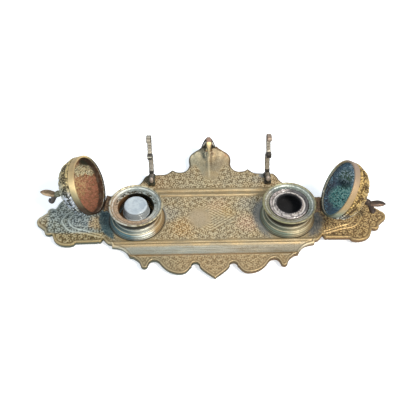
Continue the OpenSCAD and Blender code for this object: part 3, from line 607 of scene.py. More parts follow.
def tray_surface(x, y, inner):
    """Height of the tray's top over its deck, and numbers for its finish.

    x, y are millimetres from the line through the wells, inner is the distance to the outline. The
    height is the mouldings and the lobe's sweep, less the engraving, plus straps, beads and ridge."""
    ax = np.abs(x)
    off_leaf = np.abs(x - LEAF_X)
    field_y = RAIL_Y + RAIL_W
    on_wing = ease(ax, WING_ROOT - 8, WING_ROOT - 2)
    band_end = ease(ax, 103.5, 101.5)
    z = mouldings(y) * band_end + sweep(y)
    apron = ease(y, TROUGH_Y - 0.6, TROUGH_Y - 1.6) * band_end
    panel = ease(y, LEDGE_Y + 1, LEDGE_Y + 1.8) * ease(y, RAIL_Y - 1, RAIL_Y - 1.8) * (1 - on_wing)
    trough = ease(y, TROUGH_Y + 1, TROUGH_Y + 3) * ease(y, LEDGE_Y - 6, LEDGE_Y - 8) * band_end
    lobe = ease(y, 70, 78)
    spread = 5 + 0.42 * np.clip(y - 56, 0, 40)
    beside_fan = ease(ax, spread, spread + 4) * (1 - lobe)
    field = ease(y, field_y + 0.6, field_y + 1.2) * (1 - on_wing)
    field = field * (0.3 + 0.7 * np.maximum(beside_fan, ease(y, 56, 50)))

    behind = ease(y, 39, 40)
    line = scrolls(ax, y, 6.8, 2.4) * (1 - behind) + scrolls(ax + 2, y, 7.6, 2.6, 5) * behind
    wing_line = scrolls(ax - 2, y - WING_MID, 7.2, 2.75, 7)
    lozenge = np.abs(x + 2.4) / 28 + np.abs(y - 0.5) / 18.5
    medallion = ease(lozenge, 1.04, 1.0)
    rings = 0.62 + 0.26 * np.cos(TAU * lozenge * 5.6) + 0.12 * ripples(x, y, 3.4, 9)
    line = line * (1 - medallion) + rings * medallion
    worn = ease(np.hypot((x + 13) / 12, (y - 0.5) / 15), 1.15, 0.5)
    clear = ease(np.hypot(ax - WELL_X, y), RING_R + 1.0, RING_R + 3.5)
    clear = clear * ease(np.hypot((x - 106) / 8, (y + 8) / 12), 0.8, 1.2)
    zigzag = 1 - wave(np.abs(np.mod(x / 5, 1) - 0.5) * 4 + y / 2.4)
    hatch = np.maximum(zigzag * trough * ease(x, 0, 30), 0.6 * wave(y / 2.3) * trough * ease(x, 30, 0))

    plain_edge = ease(y, 42, 50) * (1 - on_wing)
    edge_bead = bell(inner - 1.25, 0.75) * (1 - plain_edge)
    edge_groove = bell(inner - 2.7, 0.45) * (1 - plain_edge)
    off_edge = ease(inner, 2.9, 3.6) * (1 - plain_edge) + ease(inner, 0.8, 1.6) * plain_edge
    amount = panel * (1 - 0.8 * worn) + field + 0.85 * apron
    cut = (1 - line) * amount * clear * (1 - on_wing) + 0.75 * hatch + (1 - wing_line) * on_wing * clear
    cut = cut * off_edge * np.where(inner > 0, 1, 0)
    pale = ease(line, 0.55, 0.95) * amount * clear + ease(wing_line, 0.55, 0.95) * on_wing
    pale = pale * off_edge * (1 - worn)

    straps = np.zeros(x.shape)
    for path in strapwork():
        d = line_distance(ax, y, path)
        straps = np.maximum(straps, ease(d, 0.95, 0.5))
        cut = np.where(d < 2.2, cut * ease(d, 0.9, 2.0), cut)
        cut = np.maximum(cut, 0.95 * bell(d - 1.45, 0.4) * on_wing)
    straps = straps * on_wing
    ridge = bell(off_leaf, 0.85) * ease(y, 52, 62)
    furrow = bell(off_leaf - 2.6, 1.1) * ease(y, 66, 76)
    flutes = wave(np.arctan2(x - LEAF_X, np.maximum(y - 44, 1)) * 5.2) * lobe

    z = z - (0.4 + 0.3 * on_wing) * cut + 0.22 * np.maximum(0, line - 0.75) * amount * clear
    z = z + 0.35 * straps + 0.75 * ridge - 0.4 * furrow - 0.25 * flutes
    z = z + 0.42 * edge_bead - 0.28 * edge_groove - 0.9 * np.clip(1 - inner / 0.7, 0, 1) ** 2
    cut = np.maximum(cut, 0.75 * edge_groove)
    lines = ((TROUGH_Y, 0.8), (LEDGE_Y - 4.1, 0.5), (LEDGE_Y + 0.4, 0.5), (RAIL_Y - 0.6, 0.5),
             (RAIL_Y + 4.4, 0.6), (field_y, 0.8))
    seams = sum(bell(y - at, half) for at, half in lines) * band_end
    gilt = (ease(y, RAIL_Y - 0.5, RAIL_Y) * ease(y, field_y, field_y - 1)
            + ease(y, LEDGE_Y - 4, LEDGE_Y - 3) * ease(y, LEDGE_Y, LEDGE_Y - 0.6)) * band_end
    proud = (0.6 - 0.3 * np.sign(x)) * straps + 0.5 * edge_bead + 0.7 * ridge + 0.8 * pale
    marks = {"cut": cut, "worn": proud, "trough": trough, "seam": seams, "gilt": gilt, "smooth": 1 - amount,
             "rim": bell(inner, 1.7), "furrow": furrow + 0.4 * flutes}
    return z, {key: np.clip(value, 0, 1) for key, value in marks.items()}


def triangulated(points, loop_count, up):
    """Triangles over points whose first loop_count form the outline; those outside it are left out."""
    ring = np.arange(loop_count)
    edges = np.stack([ring, (ring + 1) % loop_count], 1)
    out = delaunay_2d_cdt([Vector(p) for p in points.tolist()], edges.tolist(), [], 0, 1e-6, False)
    flat = np.array([list(v) for v in out[0]])
    triangles = np.array(out[2])
    on_loop = (triangles < loop_count).all(1)
    middle = flat[triangles[on_loop]].mean(1)
    outside = np.zeros(len(triangles), bool)
    outside[np.where(on_loop)[0][edge_distance(middle, flat[:loop_count]) < 0]] = True
    triangles = triangles[~outside]
    a, b, c = (flat[triangles[:, k]] for k in range(3))
    area = (b[:, 0] - a[:, 0]) * (c[:, 1] - a[:, 1]) - (b[:, 1] - a[:, 1]) * (c[:, 0] - a[:, 0])
    wrong = area < 0 if up else area > 0
    return flat, np.where(wrong[:, None], triangles[:, ::-1], triangles)


def make_tray():
    """A sheet of triangles inside the outline, lifted by tray_surface, with a wall and an underside.

    Points lie close together where the sheet is engraved and further apart on smooth stretches."""
    loop = tray_outline()
    edge = resampled(join([loop, loop[:1]]), 0.7)[:-1]
    n = len(edge)
    along = np.roll(edge, -1, axis=0) - np.roll(edge, 1, axis=0)
    inward = np.stack([-along[:, 1], along[:, 0]], 1) / np.linalg.norm(along, axis=1)[:, None]
    margin, rings = 3.4, []
    for depth in (0.35, 0.8, 1.25, 1.8, 2.3, 2.8, margin):
        ring = edge + depth * inward
        rings.append(ring[edge_distance(ring, edge) > 0.94 * depth])
    step = 0.56
    gx, gy = np.meshgrid(np.arange(-TRAY_W / 2, TRAY_W / 2, step), np.arange(-FRONT_D, LOBE_END, step))
    row, column = np.indices(gx.shape)
    gx = gx + np.where(row % 2 == 0, 0, step / 2)
    ax = np.abs(gx)
    under_cup = np.hypot(ax - WELL_X, gy) < RING_R - 3
    smooth = (gy > TROUGH_Y + 2) & (gy < LEDGE_Y - 6) & (ax < 101) & (gx < -30)
    smooth |= (gy > BACK_D + 20) & (ax > 8)
    sixth, second = ((row % k == 0) & (column % k == 0) for k in (6, 2))
    keep = np.where(under_cup, sixth, ~smooth | second)
    grid = np.stack([gx[keep], gy[keep]], 1)
    grid = grid[edge_distance(grid, loop) > margin + 0.6 * step]
    top, triangles = triangulated(join([edge] + rings + [grid]), n, True)
    inner = edge_distance(top, edge)
    inner[:n] = 0
    z, marks = tray_surface(top[:, 0], top[:, 1], np.maximum(inner, 0))
    count = len(top)
    floor_z = sweep(edge[:, 1]) - PLATE_T
    wall = [np.column_stack([edge, height]) for height in (z[:n] - 0.35, z[:n] - 1.2, floor_z + 0.6)]
    bx, by = np.meshgrid(np.arange(-TRAY_W / 2, TRAY_W / 2, 3.0), np.arange(-FRONT_D, LOBE_END, 2.0))
    below = np.stack([bx.ravel(), by.ravel()], 1)
    below = join([edge + 0.25 * inward, below[edge_distance(below, loop) > 2]])
    under, under_triangles = triangulated(below, n, False)
    under = np.column_stack([under, sweep(under[:, 1]) - PLATE_T])
    points = join([np.column_stack([top, z])] + wall + [under])
    faces = [triangles, under_triangles + count + n * len(wall)]
    starts = [0] + [count + n * k for k in range(len(wall) + 1)]
    i, j = np.arange(n), (np.arange(n) + 1) % n
    for upper, lower in zip(starts[:-1], starts[1:]):
        faces.append(np.stack([upper + i, lower + i, lower + j, upper + j], 1))
    extra = len(points) - count
    numbers = {key: join([v, np.zeros(extra)]) for key, v in marks.items()}
    numbers["side"] = np.repeat([0.0, 1.0], [count, extra])
    return make_mesh("engraved_tray", points + [0, WELL_Y, DECK], faces, numbers, 50)


# ---------------- placing things
def tilted(degrees, pivot):
    """A turn about the Y direction through a pivot."""
    there = Matrix.Translation(pivot)
    return there @ Matrix.Rotation(math.radians(degrees), 4, "Y") @ there.inverted()


def at_well(side):
    """Turns the frame of one well, its hinge along +X, into the frame of the model, in millimetres."""
    turn = Matrix.Rotation(math.radians(TURN[side]), 4, "Z")
    return Matrix.Translation((side * WELL_X, WELL_Y, DECK)) @ turn


def opened(side, up):
    """The same for what is drawn at a height on a shut lid: it is turned open about the lid's hinge pin."""
    return at_well(side) @ tilted(OPEN[side], (HINGE_R, 0, PIN_Z)) @ Matrix.Translation((0, 0, up))


# ---------------- wells
MOUTH_R = {LEFT: BORE_R - 1.4, RIGHT: BORE_R}      # the left bowl narrows a little at its mouth


def bowl_outline(side):
    """Half section of a bowl: ringed neck, rolled lip, grooved dish and the bore."""
    dish_r, low, mouth = RIM_R - 1.6, RIM_H - DISH_H, MOUTH_R[side]
    return join([
        [[2.15, 0], [SPIGOT_R, 0], [SPIGOT_R, RING_H], [NECK_R + 0.7, RING_H], [NECK_R + 1.1, RING_H + 0.9],
         [NECK_R + 0.7, RING_H + 1.7], [NECK_R - 0.1, RING_H + 1.9], [NECK_R - 0.1, RING_H + 2.5],
         [NECK_R + 0.5, RING_H + 2.9], [NECK_R + 0.5, RING_H + 3.7]],
        curve([NECK_R, RING_H + 4.1], [NECK_R - 0.4, RING_H + 5.5],
              [NECK_R, RIM_H - 6], [RIM_R - 1.6, RIM_H - 3.2], 12),
        [[RIM_R - 0.9, RIM_H - 2.6], [RIM_R - 0.4, RIM_H - 2.5], [RIM_R - 0.2, RIM_H - 1.9]],
        arc([RIM_R - 0.85, RIM_H - 0.85], 0.85, -40, 150, 9),
        [[dish_r - 0.2, RIM_H - 0.9], [dish_r - 0.5, RIM_H - 0.75]],
        curve([dish_r - 0.8, RIM_H - 0.9], [dish_r - 1.2, RIM_H - 1.3],
              [dish_r - 1.6, RIM_H - 1.5], [dish_r - 2, RIM_H - 1.5], 6),
        curve([dish_r - 2.1, RIM_H - 1.8], [dish_r - 2.6, low + 0.5],
              [dish_r - 3.4, low + 0.2], [BORE_R + 2.4, low + 0.35], 8),
        [[BORE_R + 2.2, low + 0.05], [BORE_R + 1.6, low], [BORE_R + 0.9, low + 0.02],
         [mouth + 0.3, low - 0.6], [mouth, low - 1.2], [mouth, FLOOR_T + 8], [BORE_R, FLOOR_T + 6],
         [BORE_R, FLOOR_T], [4.1, FLOOR_T], [4.1, 1.7], [2.15, 1.7]]])


def ring_outline():
    """Half section of the stepped foot ring: a wide cove, a round bead and two small steps."""
    r = RING_R
    return join([
        [[SPIGOT_R + 0.1, 0], [r, 0], [r, 0.9], [r - 0.8, 1.2], [r - 0.9, 1.6], [r - 0.8, 2.1],
         [r - 1.6, 2.4], [r - 1.7, 2.8]],
        curve([r - 1.7, 2.8], [r - 1.8, 3.4], [r - 2.2, 4.0], [r - 3.1, 4.3], 8),
        [[r - 3.4, 4.6], [r - 3.5, 4.9]], arc([r - 3.2, 5.7], 0.85, -70, 110, 9),
        [[r - 3.9, 6.5], [r - 4.4, 6.8], [r - 4.4, 7.2], [NECK_R + 1, 7.5], [NECK_R + 0.7, RING_H],
         [SPIGOT_R + 0.1, RING_H]]])


def liner_outline():
    """Half section of the glass liner: a flange with two round rings, the mouth and the ink chamber."""
    r, top, mouth, low = BORE_R - LIFT_FIT, RIM_H - 1.6, BORE_R - LIP_W, FLOOR_T + 0.8
    seat = RIM_H - DISH_H + 0.25
    return join([
        [[0, low], [r - 1.5, low], [r, low + 1.5], [r, seat], [BORE_R + 0.3, seat + 0.1],
         [BORE_R + 0.5, seat + 0.5]],
        arc([BORE_R - 0.5, top - 0.95], 0.95, 0, 160, 8),
        [[BORE_R - 1.9, top - 1.5], [BORE_R - 2.6, top - 1.7], [mouth + 2.4, top - 1.7]],
        arc([mouth + 0.5, top - 1.2], 1.25, 40, 270, 12),
        [[r - GLASS_T - 1, top - 2.7], [r - GLASS_T, top - 4], [r - GLASS_T, low + 2.6],
         [r - GLASS_T - 1.4, low + GLASS_T], [0, low + GLASS_T]]])


def pot_outline():
    """Half section of the ink pot with its sloping shoulder and neck."""
    neck, wall = CAP_R - POT_WALL - LIFT_FIT, POT_WALL
    return np.array([[0, 0], [POT_R - 0.8, 0], [POT_R, 0.8], [POT_R, POT_H - 3.4], [POT_R - 0.5, POT_H - 2.8],
                     [neck, POT_H - 2.8], [neck, POT_H + 2.6], [neck - wall, POT_H + 2.6],
                     [neck - wall, POT_H - 2], [POT_R - wall, POT_H - 4.6], [POT_R - wall, wall],
                     [0, wall]]) + [0, FLOOR_T + 0.1]


def cap_outline():
    """Half section of the pot's cap: a skirt with four ribs and a top sunk inside a round edge."""
    low = FLOOR_T + 0.1 + POT_H - 2.5
    top, r, inside = low + CAP_H, CAP_R, CAP_R - POT_WALL
    rib = np.array([[0.5, 0.6], [0.5, 1.4], [-0.2, 1.6], [-0.2, 1.9]])
    ribs = [rib + [r - 0.3 * i, low + RIB_STEP * i] for i in range(RIBS)]
    return join([
        [[0, top - POT_WALL - 0.6], [inside, top - POT_WALL - 0.6], [inside, low], [r + 0.4, low]],
        *ribs, [[r - 0.8, top - 1.8]], arc([r - 2.1, top - 1.2], 1.2, 0, 90, 7),
        [[r - 3.4, top - 0.05], [r - 4.2, top - 0.5], [r - 8, top - 0.8], [0, top - 0.8]]])


# ---------------- lids
BEADS, LEAVES = 60, 14                       # in each row round a lid


def dome_curve(inset, n):
    """Points of the dome's half section, inset millimetres inside its outer face, foot first."""
    e = np.radians(np.linspace(0, 90, n))
    r, h = LID_R - BAND_OUT - inset, DOME_H - inset
    line = np.stack([r * np.cos(e) ** 0.75, BAND_H + h * np.sin(e)], 1)
    return line[line[:, 0] > STUD_R + 0.05]


def make_lid(name, side):
    """A band and an embossed dome with a smooth inside, its rim at z = 0 until it is placed.

    On the dome, with m the way up from the band along the section and M its whole length, the emboss
    is a row of round beads, two rows of leaves and scrollwork on the flat map (M - m)(cos a, sin a)."""
    inside_r = LID_R - BAND_OUT - LID_WALL
    band = soft([[inside_r, 0.25], [inside_r + 0.3, 0], [LID_R - 0.3, 0], [LID_R, 0.3], [LID_R, BAND_H - 1.0],
                 [LID_R - 0.15, BAND_H - 0.55], [LID_R - BAND_OUT, BAND_H - 0.3]], 0.3, 1, False)
    outer = resampled(dome_curve(0, 400), 0.47)
    inner = resampled(join([dome_curve(LID_WALL, 200)[::-1], [[inside_r, 1.0]]]), 1.0)
    line = join([band, outer, inner])
    zone = np.repeat([0.0, 1.0, 2.0], [len(band), len(outer), len(inner)])[:, None]
    steps = np.linalg.norm(np.diff(outer, axis=0), axis=1)
    whole = steps.sum() + STUD_R
    way = join([np.zeros(len(band) + 1), np.cumsum(steps), np.zeros(len(inner))])[:, None]

    def leaf_row(a, radius, low, high, half, shift):
        """Height of a row of upright leaves, 1 on the midrib, veined, 0 outside; and where they are."""
        t = np.clip((way - low) / (high - low), 0, 1)
        width = half * np.sin(math.pi * t) ** 0.6 + 1e-3
        b = (np.mod(a * LEAVES / TAU + shift, 1) - 0.5) * TAU * radius / LEAVES
        lobes = 1 + 0.12 * np.cos(TAU * way / 2.6)
        inside = ease(width * lobes - np.abs(b), 0, 0.5)
        vein = wave((np.abs(b) + 0.55 * way) / 1.9)
        rib = bell(b, 0.55)
        height = 0.62 + 0.2 * (1 - np.abs(b) / (width + 0.5)) - 0.3 * vein * (1 - rib) + 0.3 * rib
        return inside * height * (t > 0) * (t < 1), inside

    def emboss(a, body):
        radius, rho = body[:, :1], whole - way
        ground = 0.5 * scrolls(rho * np.cos(a), rho * np.sin(a), 5.4, 2.5, 11)
        low_leaf, low_in = leaf_row(a, radius, 4.6, 17.5, 5.0, 0.0)
        high_leaf, high_in = leaf_row(a, radius, 12.5, 29, 4.4, 0.5)
        height = np.where(low_in > 0.02, low_leaf, np.where(high_in > 0.02, high_leaf, ground))
        bead = (np.mod(a * BEADS / TAU, 1) - 0.5) * TAU * radius / BEADS
        ball = np.sqrt(np.clip(1 - (bead ** 2 + (way - 2.1) ** 2) / 1.35 ** 2, 0, 1))
        in_beads = way < 3.7
        height = np.where(in_beads, 1.05 * ball, height)
        high = np.where(in_beads, 0.4 + 0.6 * height, height)
        on_dome = (zone == 1) * ease(radius, 5.2, 7.5)
        return on_dome * (1.2 * height - 0.5), {"high": high * on_dome + (zone != 1), "zone": zone + 0 * a}

    shell = turned(line, 372, True, emboss)
    return joined(name, [shell], opened(side, RIM_H + LID_GAP), sharp=60)


def make_finial(name, side):
    """A turned stem on a flat boss, then two curled petals, a long one and a short one.

    The stem is an outline carried round its axis; a petal is a cupped bar along a cubic curve."""
    base = spun([[0, 0.05], [4.8, 0.05], [4.6, 1.2], [3.4, 1.7], [0, 1.8]], 0.25, 1, 48)
    stud = spun([[0, -4], [STUD_R, -4], [STUD_R, 0.6], [0, 0.6]], 0.5, 0, 32)
    fork = FINIAL_L * 0.64
    length = FINIAL_L - fork
    shells = [spun(join([
        [[0, 0.8], [3.1, 1.2]], curve([3.5, 1.8], [2.2, 3.4], [1.6, 5], [2.2, 6.6], 8),
        curve([2.2, 6.6], [3.4, 7.4], [3.4, 8.4], [2.4, 9.2], 8),
        curve([2.4, 9.2], [3.2, 10.5], [3.5, fork * 0.66], [3.3, fork * 0.74], 8),
        [[2.6, fork * 0.9], [2.1, fork + 1.2], [0, fork + 1.6]]]), 0.35, 2, 48)]
    for out, wide, thick, curl, cup in ((-LONG_OUT, 7.8, 4.4, 0.0, 0.9), (SHORT_OUT, 7.4, 6.2, 1.3, -0.5)):
        if curl:
            end = length * 0.82
            spine = join([curve([0, -3], [out * 0.15, length * 0.3], [out * 0.9, length * 0.5],
                                [out, end], 20), arc([out - curl, end], curl, 0, 200, 10)])
        else:
            spine = join([curve([0, -3], [out * 0.42, length * 0.12], [out * 1.02, length * 0.42],
                                [out, length], 30)[:29], [[out, length - 0.4]]])
        t = np.linspace(0, 1, len(spine))
        width = wide * (0.45 + 0.55 * np.sin(math.pi * np.clip(t * 1.05, 0, 1)) ** 0.8)
        width = width * np.clip((1.03 - t) / 0.14, 0, 1) ** 0.6
        path = np.stack([spine[:, 0], np.zeros(len(t)), spine[:, 1] + fork], 1)
        petal = swept(path, (0, 1, 0), width, thick * (1 - 0.4 * t), 0.85, 24, cup=cup, groove=0.5)
        shells.append(marked(petal, claw=1 if curl else 0))
    shells = [base, stud] + moved(shells, tilted(LEAN[side], (0, 0, 1)))
    return joined(name, shells, opened(side, RIM_H + LID_GAP + BAND_H + DOME_H), sharp=50)


# ---------------- what stands on the tray
def make_leaf():
    """The curled leaf: a cupped bar that rises from the lobe, rolls forward at the top and hangs down
    in a narrowing stem, and a rolled edge on each side of its lower half."""
    y, z, top, half = TENON_Y, LOBE_RISE + 0.3, LEAF_H, LEAF_W / 2
    up_n, over_n, down_n = 20, 16, 14
    spine = join([
        curve([y, z], [y + 1.5, z + 5], [y + 1.2, top - 6], [y - 1.5, top - 2.2], up_n),
        curve([y - 1.5, top - 2.2], [y - 4, top - 0.9], [y - 8.6, top - 1.2], [y - 10.5, top - 6], over_n),
        curve([y - 10.5, top - 6], [y - 11.8, top - 11], [y - 12.6, top - 15],
              [y - 12.4, top - 18.6], down_n), [[y - 12.4, top - 18.6]]])
    width = join([2 * half * (1 - 0.72 * np.linspace(0, 1, up_n) ** 1.15),
                  np.interp(np.linspace(0, 1, over_n), [0, 0.35, 0.7, 1], [4.4, 5.6, 7.2, 6.4]),
                  np.interp(np.linspace(0, 1, down_n + 1), [0, 0.25, 0.5, 1], [6.2, 3.6, 2.2, 1.3])])
    n = len(spine)
    path = np.stack([np.zeros(n), spine[:, 0], spine[:, 1]], 1)
    thick = np.interp(np.arange(n), [0, up_n, up_n + over_n, n - 1], [2.8, 2.6, 2.4, 1.4])
    shells = [swept(path, (1, 0, 0), width, thick, power=0.75, around=36)]
    t = np.linspace(0, 1, 26)
    for s in (LEFT, RIGHT):
        edge = np.stack([s * (half - 1.2) * (1 - 0.8 * t),
                         y - 1.2 - 0.3 * np.sin(math.pi * t) - 3.4 * t ** 2.2,
                         z + 1.2 + (top - z - 3.4) * t ** 0.95], 1)
        edge = swept(edge, (0, 0.8, 0.6), 2.0 - 0.8 * t, 1.7 - 0.6 * t, power=1.0, around=14)
        shells.append(marked(edge, edge=1))
    tenon = resampled(np.array([[0, y, sweep(y) - PLATE_T - 0.8], [0, y, z - 0.5]]), 1.0)
    shells.append(swept(tenon, (1, 0, 0), 8.98, 2.58, power=0.12, around=40))
    return joined("curled_leaf", shells, Matrix.Translation((LEAF_X, WELL_Y, DECK)), sharp=50)


def make_rest(name, side):
    """A pen rest: two scrolls on a moulded foot, each a bar along a curve in the YZ plane.

    The upper bar has ridges across it every 3.2 mm, and both end in small rolls."""
    f, b, m, w = REST_FRONT, REST_BACK, SEAT_H, SCROLL_W
    t, h, step, around = REST_H - w / 2, REST_FOOT_H + w / 2, 0.45, 24
    upper = join([
        arc([f + 4.6, t - 1.5], 1.6, 275, 110, 8),
        curve([f + 5, t], [f + 13, t - 1], [b + 1, m + 20], [b - 2, m + 13], 30),
        curve([b - 2, m + 13], [b - 4, m + 7], [f + 8, m + 1.5], [f + 4, m + 1.8], 24),
        curve([f + 4, m + 1.8], [f + 1, m + 2], [f, m + 4], [f + 0.6, m + 6.5], 10),
        arc([f + 1.9, m + 6.5], 1.2, 180, 20, 6)])
    lower = join([
        curve([f + 7, m + 1], [b, m - 3], [b + 1, m - 12], [b - 1, 17], 30),
        curve([b - 1, 17], [b - 3, 9], [f + 10, h], [f + 5, h], 24),
        curve([f + 5, h], [f + 2, h], [f + 0.6, h + 1.5], [f + 1.6, h + 4], 10), [[f + 1.6, h + 4]]])
    shells = []
    bars = ((upper, (2.9, 2.6), 3.2, 1.0, 0), (lower, (3.9, 2.8), 6.4, 1.12, 1))
    for line, thick, pitch, wide, low in bars:
        line = resampled(line, step)
        s = np.arange(len(line)) * step
        ridge = np.abs(np.cos(math.pi * s / pitch)) ** 0.7
        path = np.stack([np.zeros(len(s)), line[:, 0], line[:, 1]], 1)
        thick = np.interp(s / s[-1], [0, 1], thick) * (0.86 + 0.14 * ridge)
        bar = swept(path, (1, 0, 0), REST_T * wide * (0.88 + 0.12 * ridge), thick, 0.55, around, groove=0.25)
        bar[2]["ridge"] = join([np.repeat(ridge, around), [0, 0]])
        shells.append(marked(bar, low=low))
    boss = spun([[0, -1.2], [2.5, -1.0], [2.7, 0], [2.2, 0.9], [1.2, 1.4], [0, 1.5]], 0.3, 1, 32)
    facing = (Matrix.Translation((0, f + 0.9, h + 3.6)) @ Matrix.Rotation(math.radians(60), 4, "X")
              @ Matrix.Diagonal((0.85, 1.25, 1, 1)))
    shells += moved([marked(boss, boss=1)], facing)
    web = resampled(np.array([[0, f + 4.2, REST_FOOT_H + 0.9], [0, b - 2.2, REST_FOOT_H + 0.9]]), 1)
    shells.append(swept(web, (1, 0, 0), REST_T, 2.6, power=0.3, around=20))
    shells = moved(shells, tilted(-REST_LEAN if side == RIGHT else 0, (0, 0, REST_FOOT_H - 0.4)))
    along = np.linspace(0, 1, 40)
    foot = np.stack([0 * along, f + 0.1 + (b - f - 0.2) * along, 0 * along + REST_FOOT_H / 2], 1)
    waist = 1 - 0.22 * np.sin(math.pi * along) ** 2 + 0.04 * np.cos(TAU * along * 5)
    ends = np.clip(np.minimum(along, 1 - along) / 0.08, 0, 1) ** 0.5
    wide = (REST_T + 3.2) * waist * (0.6 + 0.4 * ends)
    shells.append(marked(swept(foot, (1, 0, 0), wide, REST_FOOT_H * 0.985, power=0.3, around=32), slab=1))
    return joined(name, shells, Matrix.Translation((REST_X[side], WELL_Y, DECK)), sharp=50)


def finish_piece(piece, body, slot, material, *replaced):
    """Gives a piece its material and its body and hides the CAD nodes that it stands for; slot is not used.
    """
    piece.data.materials.clear()
    piece.data.materials.append(material)
    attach(piece, body)
    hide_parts(*replaced)


def turned_piece(name, shell, side, *finish):
    """A piece of one turned shell at a well, then finished."""
    finish_piece(joined(name, [shell], at_well(side)), *finish)


# ---------------- finishes
def on_tray(x, y, z=0):
    """A place on the tray, from millimetres measured from the line through the wells."""
    return (x, y + WELL_Y, z + DECK)


